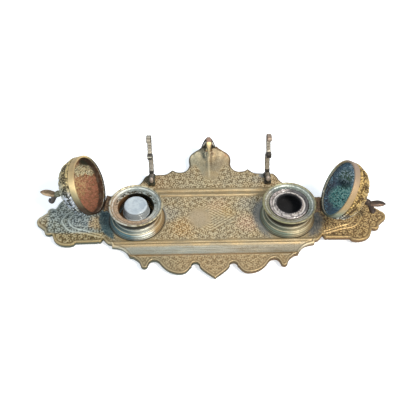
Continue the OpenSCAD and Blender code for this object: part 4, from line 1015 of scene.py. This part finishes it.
def engraved_brass():
    """The tray: tan brass in drifting tones, umber in what is cut, pale on what stands proud, grey-green
    and gold on the two wings, the left wing's grey-green partly a painted shadow of its lid, a smooth
    grey-green trough and dark seams along the mouldings, with painted shadows round the cups, beside the pen
    rests and under the leaf, and painted shade in the lobe's furrows, on its left half, round each cup's
    foot, along the front edge and on the side wall."""
    p = Paint("engraved_brass", Metallic=0.5)
    cut, worn = p.own("cut"), p.own("worn")
    x = p.along((1, 0, 0))
    y = p.along((0, 1, 0), (0, WELL_Y, 0))
    fine = p.noise(0.9)
    colour = p.mix(p.spots(13, 0.36, 0.64), (174, 153, 116), (154, 142, 117))
    # place on the tray, full to and gone beyond so many millimetres, how much covers, tone
    patches = ((-46, 6, 4, 15, 0.7, (164, 166, 160)), (-30, -13, 3, 18, 0.7, (188, 142, 78)),
               (36, -8, 4, 16, 0.7, (204, 166, 142)), (6, 17, 3, 15, 0.6, (204, 168, 130)),
               (16, 7, 2, 12, 0.6, (190, 158, 102)), (38, 17, 4, 15, 0.7, (156, 156, 148)),
               (-14, 0, 5, 17, 0.8, (184, 166, 138)), (-58, 52, 6, 22, 0.65, (178, 142, 100)),
               # the grey patch at (50, 52) is a painted shadow of the right pen rest
               (64, 50, 5, 20, 0.5, (190, 156, 112)), (50, 52, 2, 8, 0.7, (128, 130, 126)),
               (-40, 52, 4, 20, 0.4, (140, 124, 92)), (-10, 45, 4, 18, 0.5, (168, 156, 122)))
    colour = p.coats(colour, *((much * p.near(on_tray(px, py), inner, outer, 0.3, 8), shade)
                               for px, py, inner, outer, much, shade in patches))
    smooth = p.own("smooth") * y.step(56, 70)
    trough, gilt, seam, rim, furrow_shade = (p.own(key) for key in ("trough", "gilt", "seam", "rim", "furrow"))
    brushed = p.noise(1.6, place=p.stretched(0.09, 1, 1))
    drawn = gilt.most(trough)
    left_wing, right_wing = x.step(-98, -112), x.step(96, 112)
    leafy = p.noise(7)
    lower_left = left_wing * y.step(-15, -19).most(x.step(-166, -171) * 0.7)
    umber = p.mix(left_wing, (92, 74, 44), p.mix(lower_left, (34, 44, 42), (56, 50, 32)))
    # beside: blue-grey on the tray left of the left cup, partly patina and partly a painted shadow of the cup
    beside = p.near(on_tray(-84, 2), 31, 34, 0.04, 8) * x.step(-98, -102) * y.step(16, 8)
    tan_spot = p.near(on_tray(-118, -4), 5, 12, 0.35, 4)
    pale = p.mix(left_wing, p.mix(right_wing, (230, 216, 180), (212, 184, 130)), (206, 216, 210))
    colour = p.coats(colour,
        # painted shade: the grey-green on the left half of the smooth lobe stands for shade; the tan on its
        # right is its tone
        (smooth * x.step(8, -14) * 0.8, (158, 162, 144)),
        (smooth * x.step(-6, 16) * 0.6, (172, 154, 126)),
        (0.7 * p.near(on_tray(-21, 85, 4), 1.0, 3.6, 0.4, 2), (226, 212, 176)),
        (0.55 * p.near(on_tray(18, 85, 4), 0.5, 3.6, 0.4, 2), (206, 134, 84)),
        (smooth * p.noise(2.2, 4).step(0.5, 0.7) * 0.5, (112, 104, 80)),
        (smooth * p.spots(1.6, 0.56, 0.7) * 0.5, (214, 212, 190)),
        (trough * 0.85, p.mix(x.step(-40, 40), (166, 172, 164), (174, 168, 152))),
        (gilt * 0.75, p.mix(p.spots(9, 0.42, 0.6), (172, 150, 112), (160, 144, 112))),
        (drawn * brushed.step(0.5, 0.7) * 0.45, (126, 104, 66)),
        (drawn * brushed.step(0.48, 0.3) * 0.4, (214, 200, 168)),
        (y.step(-47, -50) * (1 - x.step(100, 108).most(x.step(-100, -108))) * 0.75,
         p.mix(x.step(-60, -20), (132, 122, 96), (158, 132, 96))),
        # the grey-green over the left wing is partly patina and partly a painted shadow of the left lid; its
        # gold front border, lower_left, is where that painted shadow stops
        (left_wing * 0.85, p.mix(leafy.step(0.4, 0.6), (112, 130, 130), (132, 142, 130))),
        (p.near(on_tray(-134, -8), 8, 20, 0.3, 6) * 0.6, (150, 166, 178)),
        (lower_left * 0.9, (168, 138, 82)),
        (right_wing * 0.85, p.mix(leafy.step(0.4, 0.6), (150, 122, 77), (130, 106, 71))),
        (left_wing * y.step(-6, -12) * 0.4, (98, 94, 66)),
        (left_wing * y.step(-4, 4) * 0.35, (180, 192, 190)),
        (fine.step(0.42, 0.7) * 0.45, (112, 94, 64)))
    umber = p.mix(right_wing, umber, (82, 58, 30))
    colour = p.coats(colour,
        (cut.step(0.3, 0.95) * 0.68, umber),
        (seam * 0.5, (112, 92, 52)),
        (seam * y.step(-40, -44) * 0.6, (140, 92, 46)),
        # painted shade in the lobe's furrows beside the leaf: teal-grey left of it, brown right of it
        (furrow_shade * 0.55 * x.step(0, -3), (58, 72, 70)),
        (furrow_shade * 0.5 * x.step(-3, 0), (92, 66, 42)),
        # painted shadow under the leaf's curl: dark teal left of its stem, brown right of it
        (0.9 * p.near(on_tray(-5.5, 85.5, 5), 2.0, 6.5, 0.35, 3, (0.8, 1.7, 1)), (46, 56, 52)),
        (0.8 * p.near(on_tray(3.2, 87, 5), 1.0, 3.6, 0.3, 3), (84, 60, 40)),
        (tan_spot * 0.75, p.mix(cut.step(0.3, 0.95) * 0.6, (186, 160, 118), (84, 66, 44))))
    pale = p.coats(pale,
        (y.step(-42, -46), (200, 184, 146)),
        (lower_left, (214, 206, 172)),
        (tan_spot, (226, 208, 172)))
    colour = p.coats(colour,
        (worn * 0.65, pale),
        # partly patina, partly painted shadow left of the left cup
        (beside * 0.9, p.mix(brushed.step(0.5, 0.62) * 0.4, (56, 84, 92), (112, 138, 140))),
        (rim.step(0.1, 0.7) * y.step(38, 50) * 0.85, p.mix(x.step(-4, 4), (56, 52, 36), (76, 54, 32))),
        # painted shade along the front edge, where the tray turns down
        (rim.step(0.82, 0.96) * y.step(-40, -44) * 0.8, (70, 60, 40)))
    # painted shade: a dark ring on the tray round the foot of each cup
    for s in (LEFT, RIGHT):
        centre = on_tray(s * WELL_X, 0)
        colour = p.mix(0.85 * p.near(centre, RING_R + 0.3, RING_R + 1.6, 0.0), colour, (48, 42, 30))
    # painted shade round the right cup: on its left from the cup, between it and the right lid from the lid
    round_right_shade = p.near(on_tray(WELL_X, 0), RING_R + 3, RING_R + 10, 0.06, 8)
    # painted shadow of the right lid on the tray between the lid and the right cup, streaked
    lid_shadow = p.mix(p.noise(1.2, place=p.stretched(1, 0.3, 1)).step(0.42, 0.6), (96, 98, 96), (140, 138, 128))
    # painted shade on the tray's side wall, darker and greener on the left
    edge = p.mix(x.step(-20, 40), (86, 92, 78), (118, 90, 58))
    colour = p.coats(colour,
        (round_right_shade * x.step(62, 52) * 0.75, (116, 122, 124)),
        (round_right_shade * x.step(94, 101) * 0.85, (88, 94, 100)),
        (0.85 * p.near(on_tray(105, -9), 5, 13, 0.5, 4, (0.9, 1.4, 1)), lid_shadow),
        # dark patch left of the left pen rest: partly dark patina, partly a painted shadow of the rest
        (0.85 * p.near(on_tray(-69, 55), 3, 9, 0.4, 4), (58, 58, 46)),
        # painted shadow of the right pen rest, on the tray to its left
        (0.8 * p.near(on_tray(56, 58), 1.5, 5, 0.4, 4), (130, 134, 136)),
        (p.own("side"), edge))
    return p.finished(colour, 0.4 + 0.14 * p.noise(9) + 0.2 * cut, fine + 0.6 * p.noise(3, 2), 0.16)


# tones across the dish of each bowl, from its left front to its right back: partly its own copper and silver,
# partly painted light and painted reflection on the dished face
DISH = {LEFT: ((0.0, (184, 156, 128)), (0.3, (190, 168, 144)), (0.5, (196, 198, 190)),
               (1.0, (150, 162, 160))),
        RIGHT: ((0.0, (142, 138, 114)), (0.34, (172, 166, 150)), (0.56, (112, 118, 116)),
                (0.8, (118, 134, 132)), (1.0, (140, 152, 146)))}


def turned_brass(name, side):
    """Bowls and foot rings: gold on the right and blue-grey on the left, partly tarnish and partly painted
    light and shade, pale painted highlights and painted shade on the rings, a painted shadow under the rim,
    streaks round the axis, a cream lip, copper and silver in the dish with painted light and a painted
    highlight ring, and a dark bore."""
    p = Paint(name, Metallic=0.55)
    r, z = p.own("r"), p.own("z")
    centre = on_tray(side * WELL_X, 0)
    across = p.along((1, 0, 0), centre)
    back = p.along((0, 1, 0), centre)
    cloud = (p.noise(11) - 0.5) * 12
    streak = p.noise(2.2, place=p.stretched(1, 1, 5))
    # the blue-grey on the left of each bowl and ring is partly tarnish and partly painted shade away from the
    # light; the gold on the right is partly painted light
    gold, pale, tarnish_and_shade = (168, 142, 102), (198, 204, 196), (84, 118, 126)
    if side == RIGHT:
        gold, pale, tarnish_and_shade = (160, 142, 108), (160, 152, 124), (108, 122, 108)
    turn = across + 0.5 * back + cloud
    body = turn.ramp(-26, 26, (0.0, tarnish_and_shade), (0.16, tarnish_and_shade), (0.36, pale), (0.55, pale), (0.72, gold))
    grooves = z.band(4.0, 4.4, 4.9, 5.3).most(z.band(2.2, 2.4, 2.6, 2.8)).most(z.band(0.8, 1.0, 1.3, 1.6))
    dish = (turn + 0.6 * back).ramp(-24, 24, *DISH[side])
    around = p.spots(2.4, 0.4, 0.56)
    inside = r.step(RIM_R - 1.4, RIM_R - 2.0) * z.step(RIM_H - 3.4, RIM_H - 3)
    # painted light on the turned rings: pale painted highlights on the two beads, painted shade in the
    # grooves and the steps above them, and a painted shadow on the neck under the rim
    body = p.coats(body,
        (z.band(4.9, 5.3, 6.3, 6.6) * 0.6, (220, 208, 176)),
        (grooves * 0.75, (78, 60, 36)),
        (z.band(6.4, 6.8, 8.0, 8.3) * 0.5, (84, 70, 48)),
        (z.band(8.6, 8.9, 9.9, 10.2) * 0.5, (210, 204, 184)),
        (z.band(9.9, 10.2, 11.0, 11.4) * 0.65, (74, 56, 36)),
        (z.step(11.4, 12.0) * 0.95, (30, 24, 16)),
        (streak.step(0.48, 0.75) * 0.5, (96, 82, 58)))
    dish = p.coats(dish,
        (p.noise(1.6, 3, 0.6).step(0.46, 0.7) * (0.5 if side == LEFT else 0.65),
         (104, 82, 62) if side == LEFT else (86, 92, 86)),
        (p.noise(1.4, 3, 0.6, 1.2).step(0.54, 0.68) * 0.65, (206, 200, 184)),
        # painted highlight: a bright broken ring on the bend of the dish
        (around * r.band(23.2, 23.5, 24.0, 24.3) * 0.7, (226, 230, 224)),
        (r.band(21.5, 21.8, 22.3, 22.6) * 0.55, (66, 58, 48)),
        (p.noise(2.6, place=p.stretched(1, 1, 4)).step(0.5, 0.64) * back.step(4, -8) * 0.6,
         (104, 92, 76) if side == LEFT else (110, 108, 92)))
    colour = p.mix(inside, body, dish)
    crust = inside * r.step(BORE_R + 3.0, BORE_R + 1.0) * back.step(-6, 8) * p.spots(2.0, 0.42, 0.54)
    second = r.band(RIM_R - 3.1, RIM_R - 2.8, RIM_R - 2.4, RIM_R - 2.1) * inside
    lip = z.step(RIM_H - 1.3, RIM_H - 0.6) * r.step(RIM_R - 2.2, RIM_R - 1.6)
    lip_tone = (206, 194, 160) if side == LEFT else (160, 156, 122)
    # painted shade under the rolled lip
    under = z.band(RIM_H - 3.4, RIM_H - 2.9, RIM_H - 2.0, RIM_H - 1.6) * r.step(RIM_R - 1.8, RIM_R - 1.2)
    dark_to = MOUTH_R[side] + 0.2 if side == LEFT else BORE_R + 0.9
    bore = (r + (p.noise(2.4) - 0.5) * 1.6).step(dark_to + 0.5, dark_to) * z.step(0.5, 1)
    deep = p.mix(across.step(-6, -15), (30, 28, 20), (128, 94, 62)) if side == LEFT else (30, 28, 20)
    colour = p.coats(colour,
        (crust, (52, 46, 30) if side == LEFT else (72, 76, 70)),
        (second * 0.55, (92, 84, 62)))
    lip_tone = p.mix(turn.step(-8, -20) * 0.8, lip_tone, (206, 208, 200) if side == LEFT else (150, 152, 116))
    colour = p.coats(colour,
        (lip * 0.85, p.mix(p.spots(4, 0.45, 0.6), lip_tone, (132, 120, 92))),
        (under * 0.7, (58, 46, 30)),
        (bore, p.mix(p.spots(1.3, 0.62, 0.7) * 0.7, deep, (138, 132, 66) if side == LEFT else (60, 62, 60))))
    return p.finished(colour, 0.34 + 0.2 * p.noise(5) + 0.1 * streak, streak + 0.5 * p.noise(0.7, 2), 0.1)


def lid_brass(name, side):
    """A lid: a plain polished band in painted light, a painted highlight high up and painted shade darkening
    it downwards, an embossed dome with a painted highlight on the left one, dark between the leaves, and a
    corroded inside with patches of its own and painted highlight streaks in the right one."""
    p = Paint(name, Specular_IOR_Level=0.25)
    zone, high, z = p.own("zone"), p.own("high"), p.own("z")
    up = p.along((0, 0, 1))
    drift = up + (p.noise(14) - 0.5) * 14
    mottle = p.noise(1.5, 4).step(0.42, 0.7)
    if side == LEFT:
        # painted light on the polished band: painted shade low down, a painted highlight high up
        band = drift.ramp(18, 88, (0.0, (36, 25, 16)), (0.34, (42, 29, 18)), (0.54, (60, 44, 27)),
                          (0.65, (108, 98, 74)), (0.73, (164, 152, 116)), (0.83, (232, 206, 152)),
                          (0.95, (176, 152, 112)), (1.0, (140, 122, 92)))
        proud, deep = (196, 192, 168), (48, 50, 38)
        inside = p.mix(p.noise(3.0, 4).step(0.44, 0.62), (156, 104, 82), (128, 92, 68))
        crust = p.near((-132, 21, 52), 5, 13, 0.5, 3).most(p.near((-124, 22, 49), 3, 10, 0.5, 3))
        flakes = (crust + 2.2 * (p.noise(2.4, 4) - 0.5)).step(0.6, 0.85)
        proud = p.coats(proud,
            # painted highlight on the left dome
            (p.near((-137, -31, 62), 5, 14, 0.3, 4), (206, 212, 220)),
            (up.step(62, 80), (196, 176, 128)))
        deep = p.mix(up.step(62, 80), deep, (74, 64, 42))
        inside = p.coats(inside,
            (p.spots(1.3, 0.58, 0.7) * 0.7, (190, 150, 118)),
            (p.near((-137, 6, 41), 4, 16, 0.5, 5) * p.spots(1.6, 0.44, 0.56) * 0.8, (184, 158, 110)),
            (p.near((-131, 15, 49), 8, 21, 0.5, 5) * p.spots(1.4, 0.5, 0.58) * 0.75, (194, 164, 122)),
            (flakes * 0.9, (206, 198, 160)),
            (crust * p.spots(1.2, 0.5, 0.58), (74, 64, 40)),
            (flakes * crust * p.spots(1.0, 0.58, 0.66), (244, 244, 224)),
            (p.near((-124, 22, 63), 6, 12, 0.3, 4), (52, 56, 44)),
            (p.near((-121, 24, 68), 2, 6, 0.3, 3), (22, 26, 20)))
    else:
        # painted light on the polished band: painted shade low down, a painted highlight high up
        band = drift.ramp(18, 88, (0.0, (44, 36, 26)), (0.2, (46, 44, 34)), (0.34, (84, 94, 82)),
                          (0.48, (140, 146, 124)), (0.64, (172, 146, 106)), (0.82, (160, 136, 106)),
                          (1.0, (160, 140, 128)))
        proud, deep = (186, 158, 102), (78, 58, 28)
        inside = p.mix(p.noise(4, 4).step(0.42, 0.6), (112, 148, 170), (120, 142, 150))
        flaky = p.near((132, -5, 31), 10, 16, 0.35, 3).most(p.near((137, 0, 36), 5, 9, 0.3, 3))
        # streak: where the painted highlight streaks go, high inside the right lid
        streak = p.noise(1.7, 3, 0.55, 0.8).step(0.5, 0.58) * up.step(38, 50)
        proud = p.mix(up.step(52, 34), proud, (186, 184, 160))
        inside = p.coats(inside,
            (p.spots(1.7, 0.54, 0.66) * 0.8, (172, 200, 214)),
            (p.spots(1.5, 0.44, 0.36) * 0.7, (36, 50, 64)),
            (p.near((136, 10, 48), 4, 12, 0.35, 4) * 0.8, (92, 108, 70)),
            (p.near((113, -3, 38), 12, 26, 0.35, 5) * 0.8,
             p.mix(p.spots(1.6, 0.45, 0.6), (132, 126, 132), (84, 78, 84))),
            (flaky, p.mix(p.noise(1.4, 4).step(0.42, 0.6), (92, 154, 146), (196, 232, 214))),
            (flaky.most(0.3) * p.spots(1.7, 0.56, 0.62), (14, 26, 30)),
            (0.85 * p.near((134, 5, 41), 3, 8, 0.4, 3, (1.5, 1, 0.7)), (24, 40, 40)),
            # painted highlight streaks inside the right lid
            (streak * 0.95, (232, 246, 252)))
    strokes = p.noise(1.7, 3, 0.6)
    dome = p.mix((0.5 * high + 1.5 * (strokes - 0.5) + 0.3).step(0.52, 0.64), deep, proud)
    beads = z.step(BAND_H + 4.2, BAND_H + 3.6)
    worn = p.mix(p.spots(2.2, 0.45, 0.6), proud, deep)
    bead_tone = p.mix(high.step(0.6, 0.85), (34, 32, 26), (204, 206, 194))
    dots = ((38, 48, 50), (196, 210, 220)) if side == LEFT else ((34, 30, 24), (232, 230, 216))
    dotted = p.mix(p.spots(1.7, 0.52, 0.6), *dots)
    low_side = drift.step(62, 48) if side == LEFT else drift.step(54, 40)
    band = p.mix(p.spots(0.9, 0.55, 0.8) * 0.3, band, (120, 100, 72))
    dome = p.coats(dome,
        (up.step(46, 20) * 0.6 * high.step(0.9, 0.6), deep),
        (beads * up.step(52, 62) * 0.75, worn),
        (beads * up.step(56, 46) * 0.85, bead_tone),
        (low_side * z.step(BAND_H + 17, BAND_H + 11) * 0.85, dotted))
    if side == LEFT:
        wall = p.mix(p.spots(5, 0.5, 0.6), (62, 48, 36), (92, 80, 68))
        rim = [(z.step(2.0, 1.6) * p.spots(3, 0.36, 0.5) * 0.5, (128, 102, 70))]
    else:
        wall = p.mix(p.noise(2.0, 3, 0.5, 0.8).step(0.46, 0.6), (96, 92, 94), (152, 182, 196))
        wall = p.mix(up.step(40, 62) * 0.5, wall, (74, 110, 138))
        rim = [(z.step(3.4, 2.9), (44, 52, 54)), (z.step(2.5, 2.1), (168, 162, 146))]
    inside = p.coats(inside,
        (z.step(BAND_H + 1.5, BAND_H - 0.5) * 0.9, wall),
        *rim,
        (z.step(1.3, 0.6), (206, 186, 146)))
    within = zone.step(1.3, 1.7)
    p.set("Metallic", 0.35 - within * 0.3)
    return p.finished(p.mix(within, p.mix(zone.step(0.3, 0.7), band, dome), inside),
                      0.36 + 0.2 * p.noise(6) + within * 0.3, mottle * within * 3 + p.noise(0.6), 0.16)


def old_metal(name, light, mid, dark, rough, metal, size, depth=0.1):
    """Smooth old metal: two tones in soft stains of about a size in millimetres, and darker specks."""
    p = Paint(name, Metallic=metal)
    colour = p.mix(p.noise(size, 4, warp=0.4).step(0.4, 0.62), light, mid)
    colour = p.mix(p.noise(size / 4).step(0.55, 0.75) * 0.7, colour, dark)
    return p.finished(colour, rough + 0.2 * p.noise(size), p.noise(0.6), depth)


def finial_bronze():
    """Dark brown bronze with pale worn edges on the petals."""
    p = Paint("finial_bronze", Metallic=0.55)
    hand = p.along((1, 0, 0)).step(-10, 10)
    colour = p.mix(p.spots(2.4, 0.4, 0.65), p.mix(hand, (142, 120, 98), (70, 56, 46)),
                   p.mix(hand, (104, 88, 62), (50, 44, 42)))
    worn = p.mix(hand, (206, 180, 146), (128, 104, 88))
    stem, claw, z = p.own("r").step(0.02, 0.2), p.own("claw"), p.own("z")
    colour = p.coats(colour,
        (p.own("u").step(0.5, 0.9) * p.noise(1.5, 2).step(0.3, 0.5) * 0.8, worn),
        (stem * (1 - hand) * 0.75, p.mix(p.spots(2, 0.45, 0.6), (74, 82, 62), (150, 158, 140))),
        (stem * z.step(3.4, 1.6) * hand * 0.8,
         p.mix(p.spots(2, 0.45, 0.6), (128, 104, 76), (84, 68, 50))),
        (claw * 0.85, p.mix(hand, (54, 58, 68), (48, 38, 34))))
    return p.finished(colour, 0.36 + 0.2 * p.noise(3), p.noise(0.8), 0.15)


def leaf_brass():
    """The curled leaf: brown at its apex, gold with a painted highlight where it rolls over, pale along the
    hanging stem, silvery rolled edges, and painted shade low on the rising part and down the outer sides."""
    p = Paint("leaf_brass", Metallic=0.3)
    s, u, edge = p.own("s"), p.own("u"), p.own("edge")
    # the bright gold where the leaf rolls over is partly its gold and partly a painted highlight
    body = s.ramp(0, 1, (0.0, (84, 70, 50)), (0.3, (96, 74, 54)), (0.42, (158, 126, 106)),
                  (0.6, (150, 122, 108)), (0.62, (255, 226, 162)), (0.72, (216, 196, 152)),
                  (1.0, (196, 192, 166)))
    rise = p.along((0, 0, 1), (0, 0, DECK + LOBE_RISE))
    rolled = p.mix(s.step(0.1, 0.45), (70, 70, 60), (236, 232, 224))
    # painted shade: low on the rising part under the curl, and down the outer sides of the hanging stem and
    # of the rising part
    body = p.coats(body,
        (s.step(0.46, 0.4) * rise.step(20, 12) * 0.92, (38, 42, 36)),
        (u.step(0.35, 0.8) * s.step(0.52, 0.58) * 0.9,
         p.mix(p.along((1, 0, 0)).step(-1, 1), (52, 62, 56), (92, 70, 48))),
        (u.step(0.6, 1.0) * s.step(0.5, 0.4) * 0.8, (60, 46, 34)))
    colour = p.mix(edge, body, p.mix(p.spots(1.5, 0.52, 0.62) * 0.5, rolled, (92, 78, 58)))
    colour = p.mix(p.spots(1.1, 0.55, 0.75) * 0.45, colour, (84, 62, 42))
    return p.finished(colour, 0.36 + 0.2 * p.noise(3), p.noise(0.9), 0.12)


def rest_brass():
    """Grey-brown rests with pale ridges and dark between them, painted shade down the sides and near the
    foot, a painted shadow round the upper scroll's lip with a painted highlight on it on the left rest, and a
    dark foot.
    """
    p = Paint("rest_brass", Metallic=0.45)
    ridge, u, low = p.own("ridge"), p.own("u"), p.own("low")
    up = p.along((0, 0, 1), (0, 0, DECK))
    hand = p.along((1, 0, 0)).step(-10, 10)
    pale = p.mix(p.spots(4, 0.4, 0.6), (188, 180, 164), (160, 152, 136))
    pale = p.mix(low * 0.7, pale, p.mix(hand, (196, 192, 186), (178, 166, 148)))
    colour = p.mix(ridge.step(0.7, 0.3) * (0.62 - 0.35 * low), pale, (78, 66, 54))
    # painted shadow round the upper scroll's lip, where the two scrolls meet
    lip_shadow = up.band(SEAT_H - 1.5, SEAT_H - 0.5, SEAT_H + 8.5, SEAT_H + 9.5)
    lip_shadow = lip_shadow * p.along((0, 1, 0), (0, WELL_Y + REST_FRONT, 0)).step(6, 5)
    # painted highlight on the lip's upper edge, on the left rest only
    line = lip_shadow * up.band(SEAT_H + 5.4, SEAT_H + 5.8, SEAT_H + 7.0, SEAT_H + 7.4)
    colour = p.coats(colour,
        # painted shade down the sides of the bars
        (u.step(0.66, 0.92) * 0.9, (48, 42, 34)),
        (hand * up.step(SEAT_H, SEAT_H + 8) * 0.25, (110, 98, 86)),
        (hand * up.step(REST_H - 9, REST_H - 5) * 0.45, (150, 116, 98)),
        (lip_shadow * 0.92, (34, 30, 26)),
        (line * (1 - hand), (214, 212, 196)),
        # painted shade near the foot: the bars darker below about 13 mm and a painted shadow band just above
        # the boss
        (up.step(13, 9) * 0.9, (48, 42, 33)),
        (up.band(8.5, 9.5, 11.5, 12.5) * 0.8, (26, 22, 18)),
        (p.own("slab") * 0.7, p.mix(hand, (72, 74, 58), (46, 46, 40))),
        (p.own("boss") * 0.85, (166, 152, 140)))
    return p.finished(colour, 0.38 + 0.2 * p.noise(3), p.noise(0.8), 0.12)


def white_glaze():
    """Glazed white with a faint blue tint and dark grey in the grooves."""
    p = Paint("white_glaze", Metallic=0.0, Coat_Weight=0.5, Coat_Roughness=0.1)
    z = p.own("z")
    colour = p.mix(p.spots(7, 0.4, 0.65), (190, 199, 205), (170, 181, 190))
    swirl = p.noise(2.2, 3, 0.5, 1.5, p.stretched(0.45, 1, 1))
    colour = p.coats(colour,
        (swirl.step(0.52, 0.62) * 0.4, (142, 152, 164)),
        (z.step(21.0, 20.4) * 0.5, (214, 218, 216)))
    for i in range(RIBS):
        groove = FLOOR_T + POT_H - 0.65 + RIB_STEP * i
        colour = p.mix((z - groove).abs().step(0.6, 0.32) * 0.8, colour, (66, 70, 72))
    return p.finished(colour, 0.28, p.noise(5, 2), 0.2)


def inky_glass():
    """Moulded glass, pinkish grey with old ink: pale rings, black inside the mouth and painted shade on the
    right back of the flange.
    """
    p = Paint("inky_glass", Metallic=0.0, Coat_Roughness=0.06)
    r, z, mouth = p.own("r"), p.own("z"), BORE_R - LIP_W
    colour = p.mix(p.noise(3, 4).step(0.42, 0.6), (182, 170, 168), (128, 118, 112))
    # painted shade on the right back of the liner's flange, where it meets the dish
    gap_shade = r.step(16.2, 17.0) * p.along((1, 0.45, 0), on_tray(WELL_X, 0)).step(4, 13)
    black = p.mix(p.spots(1.4, 0.66, 0.72) * 0.5, (18, 18, 22), (84, 84, 96))
    sunk = z.step(RIM_H - 3.6, RIM_H - 4.0) * r.step(BORE_R - 0.6, BORE_R - 1.2)
    hole = r.step(mouth + 0.9, mouth + 0.3).most(sunk)
    colour = p.coats(colour,
        (p.spots(1.2, 0.56, 0.68) * 0.4, (218, 212, 210)),
        (r.band(mouth + 1.7, mouth + 2.1, 14.9, 15.3) * 0.6, (104, 94, 88)),
        (r.band(14.2, 15.0, 16.9, 17.4) * 0.85, (88, 80, 76)),
        ((r - 17.0).abs().step(0.7, 0.3) * p.spots(3, 0.4, 0.5) * 0.7, (74, 68, 66)),
        (gap_shade * 0.9, (44, 44, 46)),
        (p.spots(1.3, 0.52, 0.62) * r.step(16.0, 15.2) * 0.3, (206, 200, 196)),
        (r.step(mouth + 2.3, mouth + 1.5) * p.spots(2.6, 0.42, 0.52) * 0.8, (58, 54, 54)),
        (p.spots(1.5, 0.56, 0.64) * r.step(15.6, 14.6) * 0.5, (52, 46, 46)),
        ((r - 15.9).abs().step(0.8, 0.4) * p.spots(4, 0.38, 0.48) * 0.75, (222, 214, 208)),
        ((r - mouth - 2.2).abs().step(0.6, 0.25) * p.spots(4, 0.4, 0.5) * 0.6, (208, 200, 194)),
        (hole, black))
    p.set("Coat Weight", 0.7 * (1 - hole))
    return p.finished(colour, 0.24 + 0.7 * hole, p.noise(2), 0.15)


# ---------------- room
def room():
    """White round the object for the camera and in reflections; a cooler, weaker light otherwise."""
    cool, white = ((0.66, 0.84, 1.0, 1), 0.5), ((1, 1, 1, 1), 1.0)
    world = bpy.data.worlds.new("room")
    scene.world = world
    world.use_nodes = True
    tree = world.node_tree
    tree.nodes.clear()
    path = tree.nodes.new("ShaderNodeLightPath")
    seen = path.outputs["Is Camera Ray"]
    for ray in ("Is Transmission Ray", "Is Glossy Ray"):
        most = tree.nodes.new("ShaderNodeMath")
        most.operation = "MAXIMUM"
        tree.links.new(seen, most.inputs[0])
        tree.links.new(path.outputs[ray], most.inputs[1])
        seen = most.outputs[0]
    mix = tree.nodes.new("ShaderNodeMixShader")
    tree.links.new(seen, mix.inputs[0])
    for socket, (colour, strength) in zip(mix.inputs[1:], (cool, white)):
        shade = tree.nodes.new("ShaderNodeBackground")
        shade.inputs[0].default_value, shade.inputs[1].default_value = colour, strength
        tree.links.new(shade.outputs[0], socket)
    out = tree.nodes.new("ShaderNodeOutputWorld")
    tree.links.new(mix.outputs[0], out.inputs[0])


def make_floor():
    """A pale floor, white to the camera, that keeps the object's shadow."""
    half = 4000
    corners = np.array([[-half, -half, 0], [half, -half, 0], [half, half, 0], [-half, half, 0]])
    floor = make_mesh("floor", corners, [np.array([[0, 1, 2, 3]])], {}, 45)
    p = Paint("pale_floor", Roughness=0.9)
    p.set("Base Color", (0.86, 0.86, 0.87, 1))
    p.set("Emission Color", (1, 1, 1, 1))
    p.set("Emission Strength", p.node("LightPath", {}, {}, "Is Camera Ray") * 0.6)
    floor.data.materials.append(p.material)


# ---------------- the scene
scene.view_settings.view_transform = "Standard"
place_camera()
room()
make_floor()
lamp("key", (0.42, -0.46, 0.78), 1.3, 0.30, 16, (1.0, 0.93, 0.82))
lamp("fill", (-0.7, -0.5, 0.6), 1.6, 1.2, 5, (0.85, 0.93, 1.0))

finish_piece(make_tray(), "stand", "tray_brass", engraved_brass(), "tray")
finish_piece(make_leaf(), "stand", "leaf_brass", leaf_brass(), "back_leaf")
bronze, rests = finial_bronze(), rest_brass()
for side, word, cover in ((LEFT, "left", "left_cover"), (RIGHT, "right", "right_cover")):
    metal = turned_brass(word + "_bowl_brass", side)
    bowl, ring = spun(bowl_outline(side), 0.35, 1, 160, True), spun(ring_outline(), 0.3, 1, 160, True)
    turned_piece(word + "_turned_bowl", bowl, side, "stand", "bowl_brass", metal, word + "_bowl")
    turned_piece(word + "_stepped_ring", ring, side, "stand", "bowl_brass", metal, word + "_foot_ring")
    finish_piece(make_lid(word + "_embossed_lid", side), cover, word + "_lid_brass",
                 lid_brass(word + "_lid_brass", side), word + "_lid")
    finish_piece(make_finial(word + "_petal_finial", side), cover, "finial_bronze", bronze, word + "_finial")
    finish_piece(make_rest(word + "_scroll_rest", side), "stand", "rest_brass", rests, word + "_pen_rest")
glaze = white_glaze()
pot, cap, liner = (spun(pot_outline(), 0.35, 2, 128), spun(cap_outline(), 0.22, 1, 128),
                   spun(liner_outline(), 0.3, 1, 144))
turned_piece("glazed_pot", pot, LEFT, "pot", "pot_glaze", glaze, "ink_pot")
turned_piece("ribbed_cap", cap, LEFT, "cap", "cap_glaze", glaze, "pot_cap")
turned_piece("moulded_liner", liner, RIGHT, "liner", "liner_glass", inky_glass(), "glass_liner")

# the plain parts that keep their CAD shape: hinges, screws, washers, nuts and feet
copper = old_metal("copper_hinge", (112, 90, 66), (66, 52, 42), (36, 28, 22), 0.42, 0.5, 2, 0.3)
dull = old_metal("dull_brass", (168, 150, 108), (130, 112, 78), (66, 52, 34), 0.45, 0.6, 4)
foot_metal = old_metal("foot_brass", (170, 146, 100), (128, 108, 72), (70, 56, 36), 0.42, 0.6, 4)
for name, piece in nodes.items():
    if any(word in name for word in ("hinge", "foot", "screw", "washer", "nut")):
        metal = copper if name.endswith("_hinge") else foot_metal if name.endswith("_foot") else dull
        piece.data.materials.clear()
        piece.data.materials.append(metal)
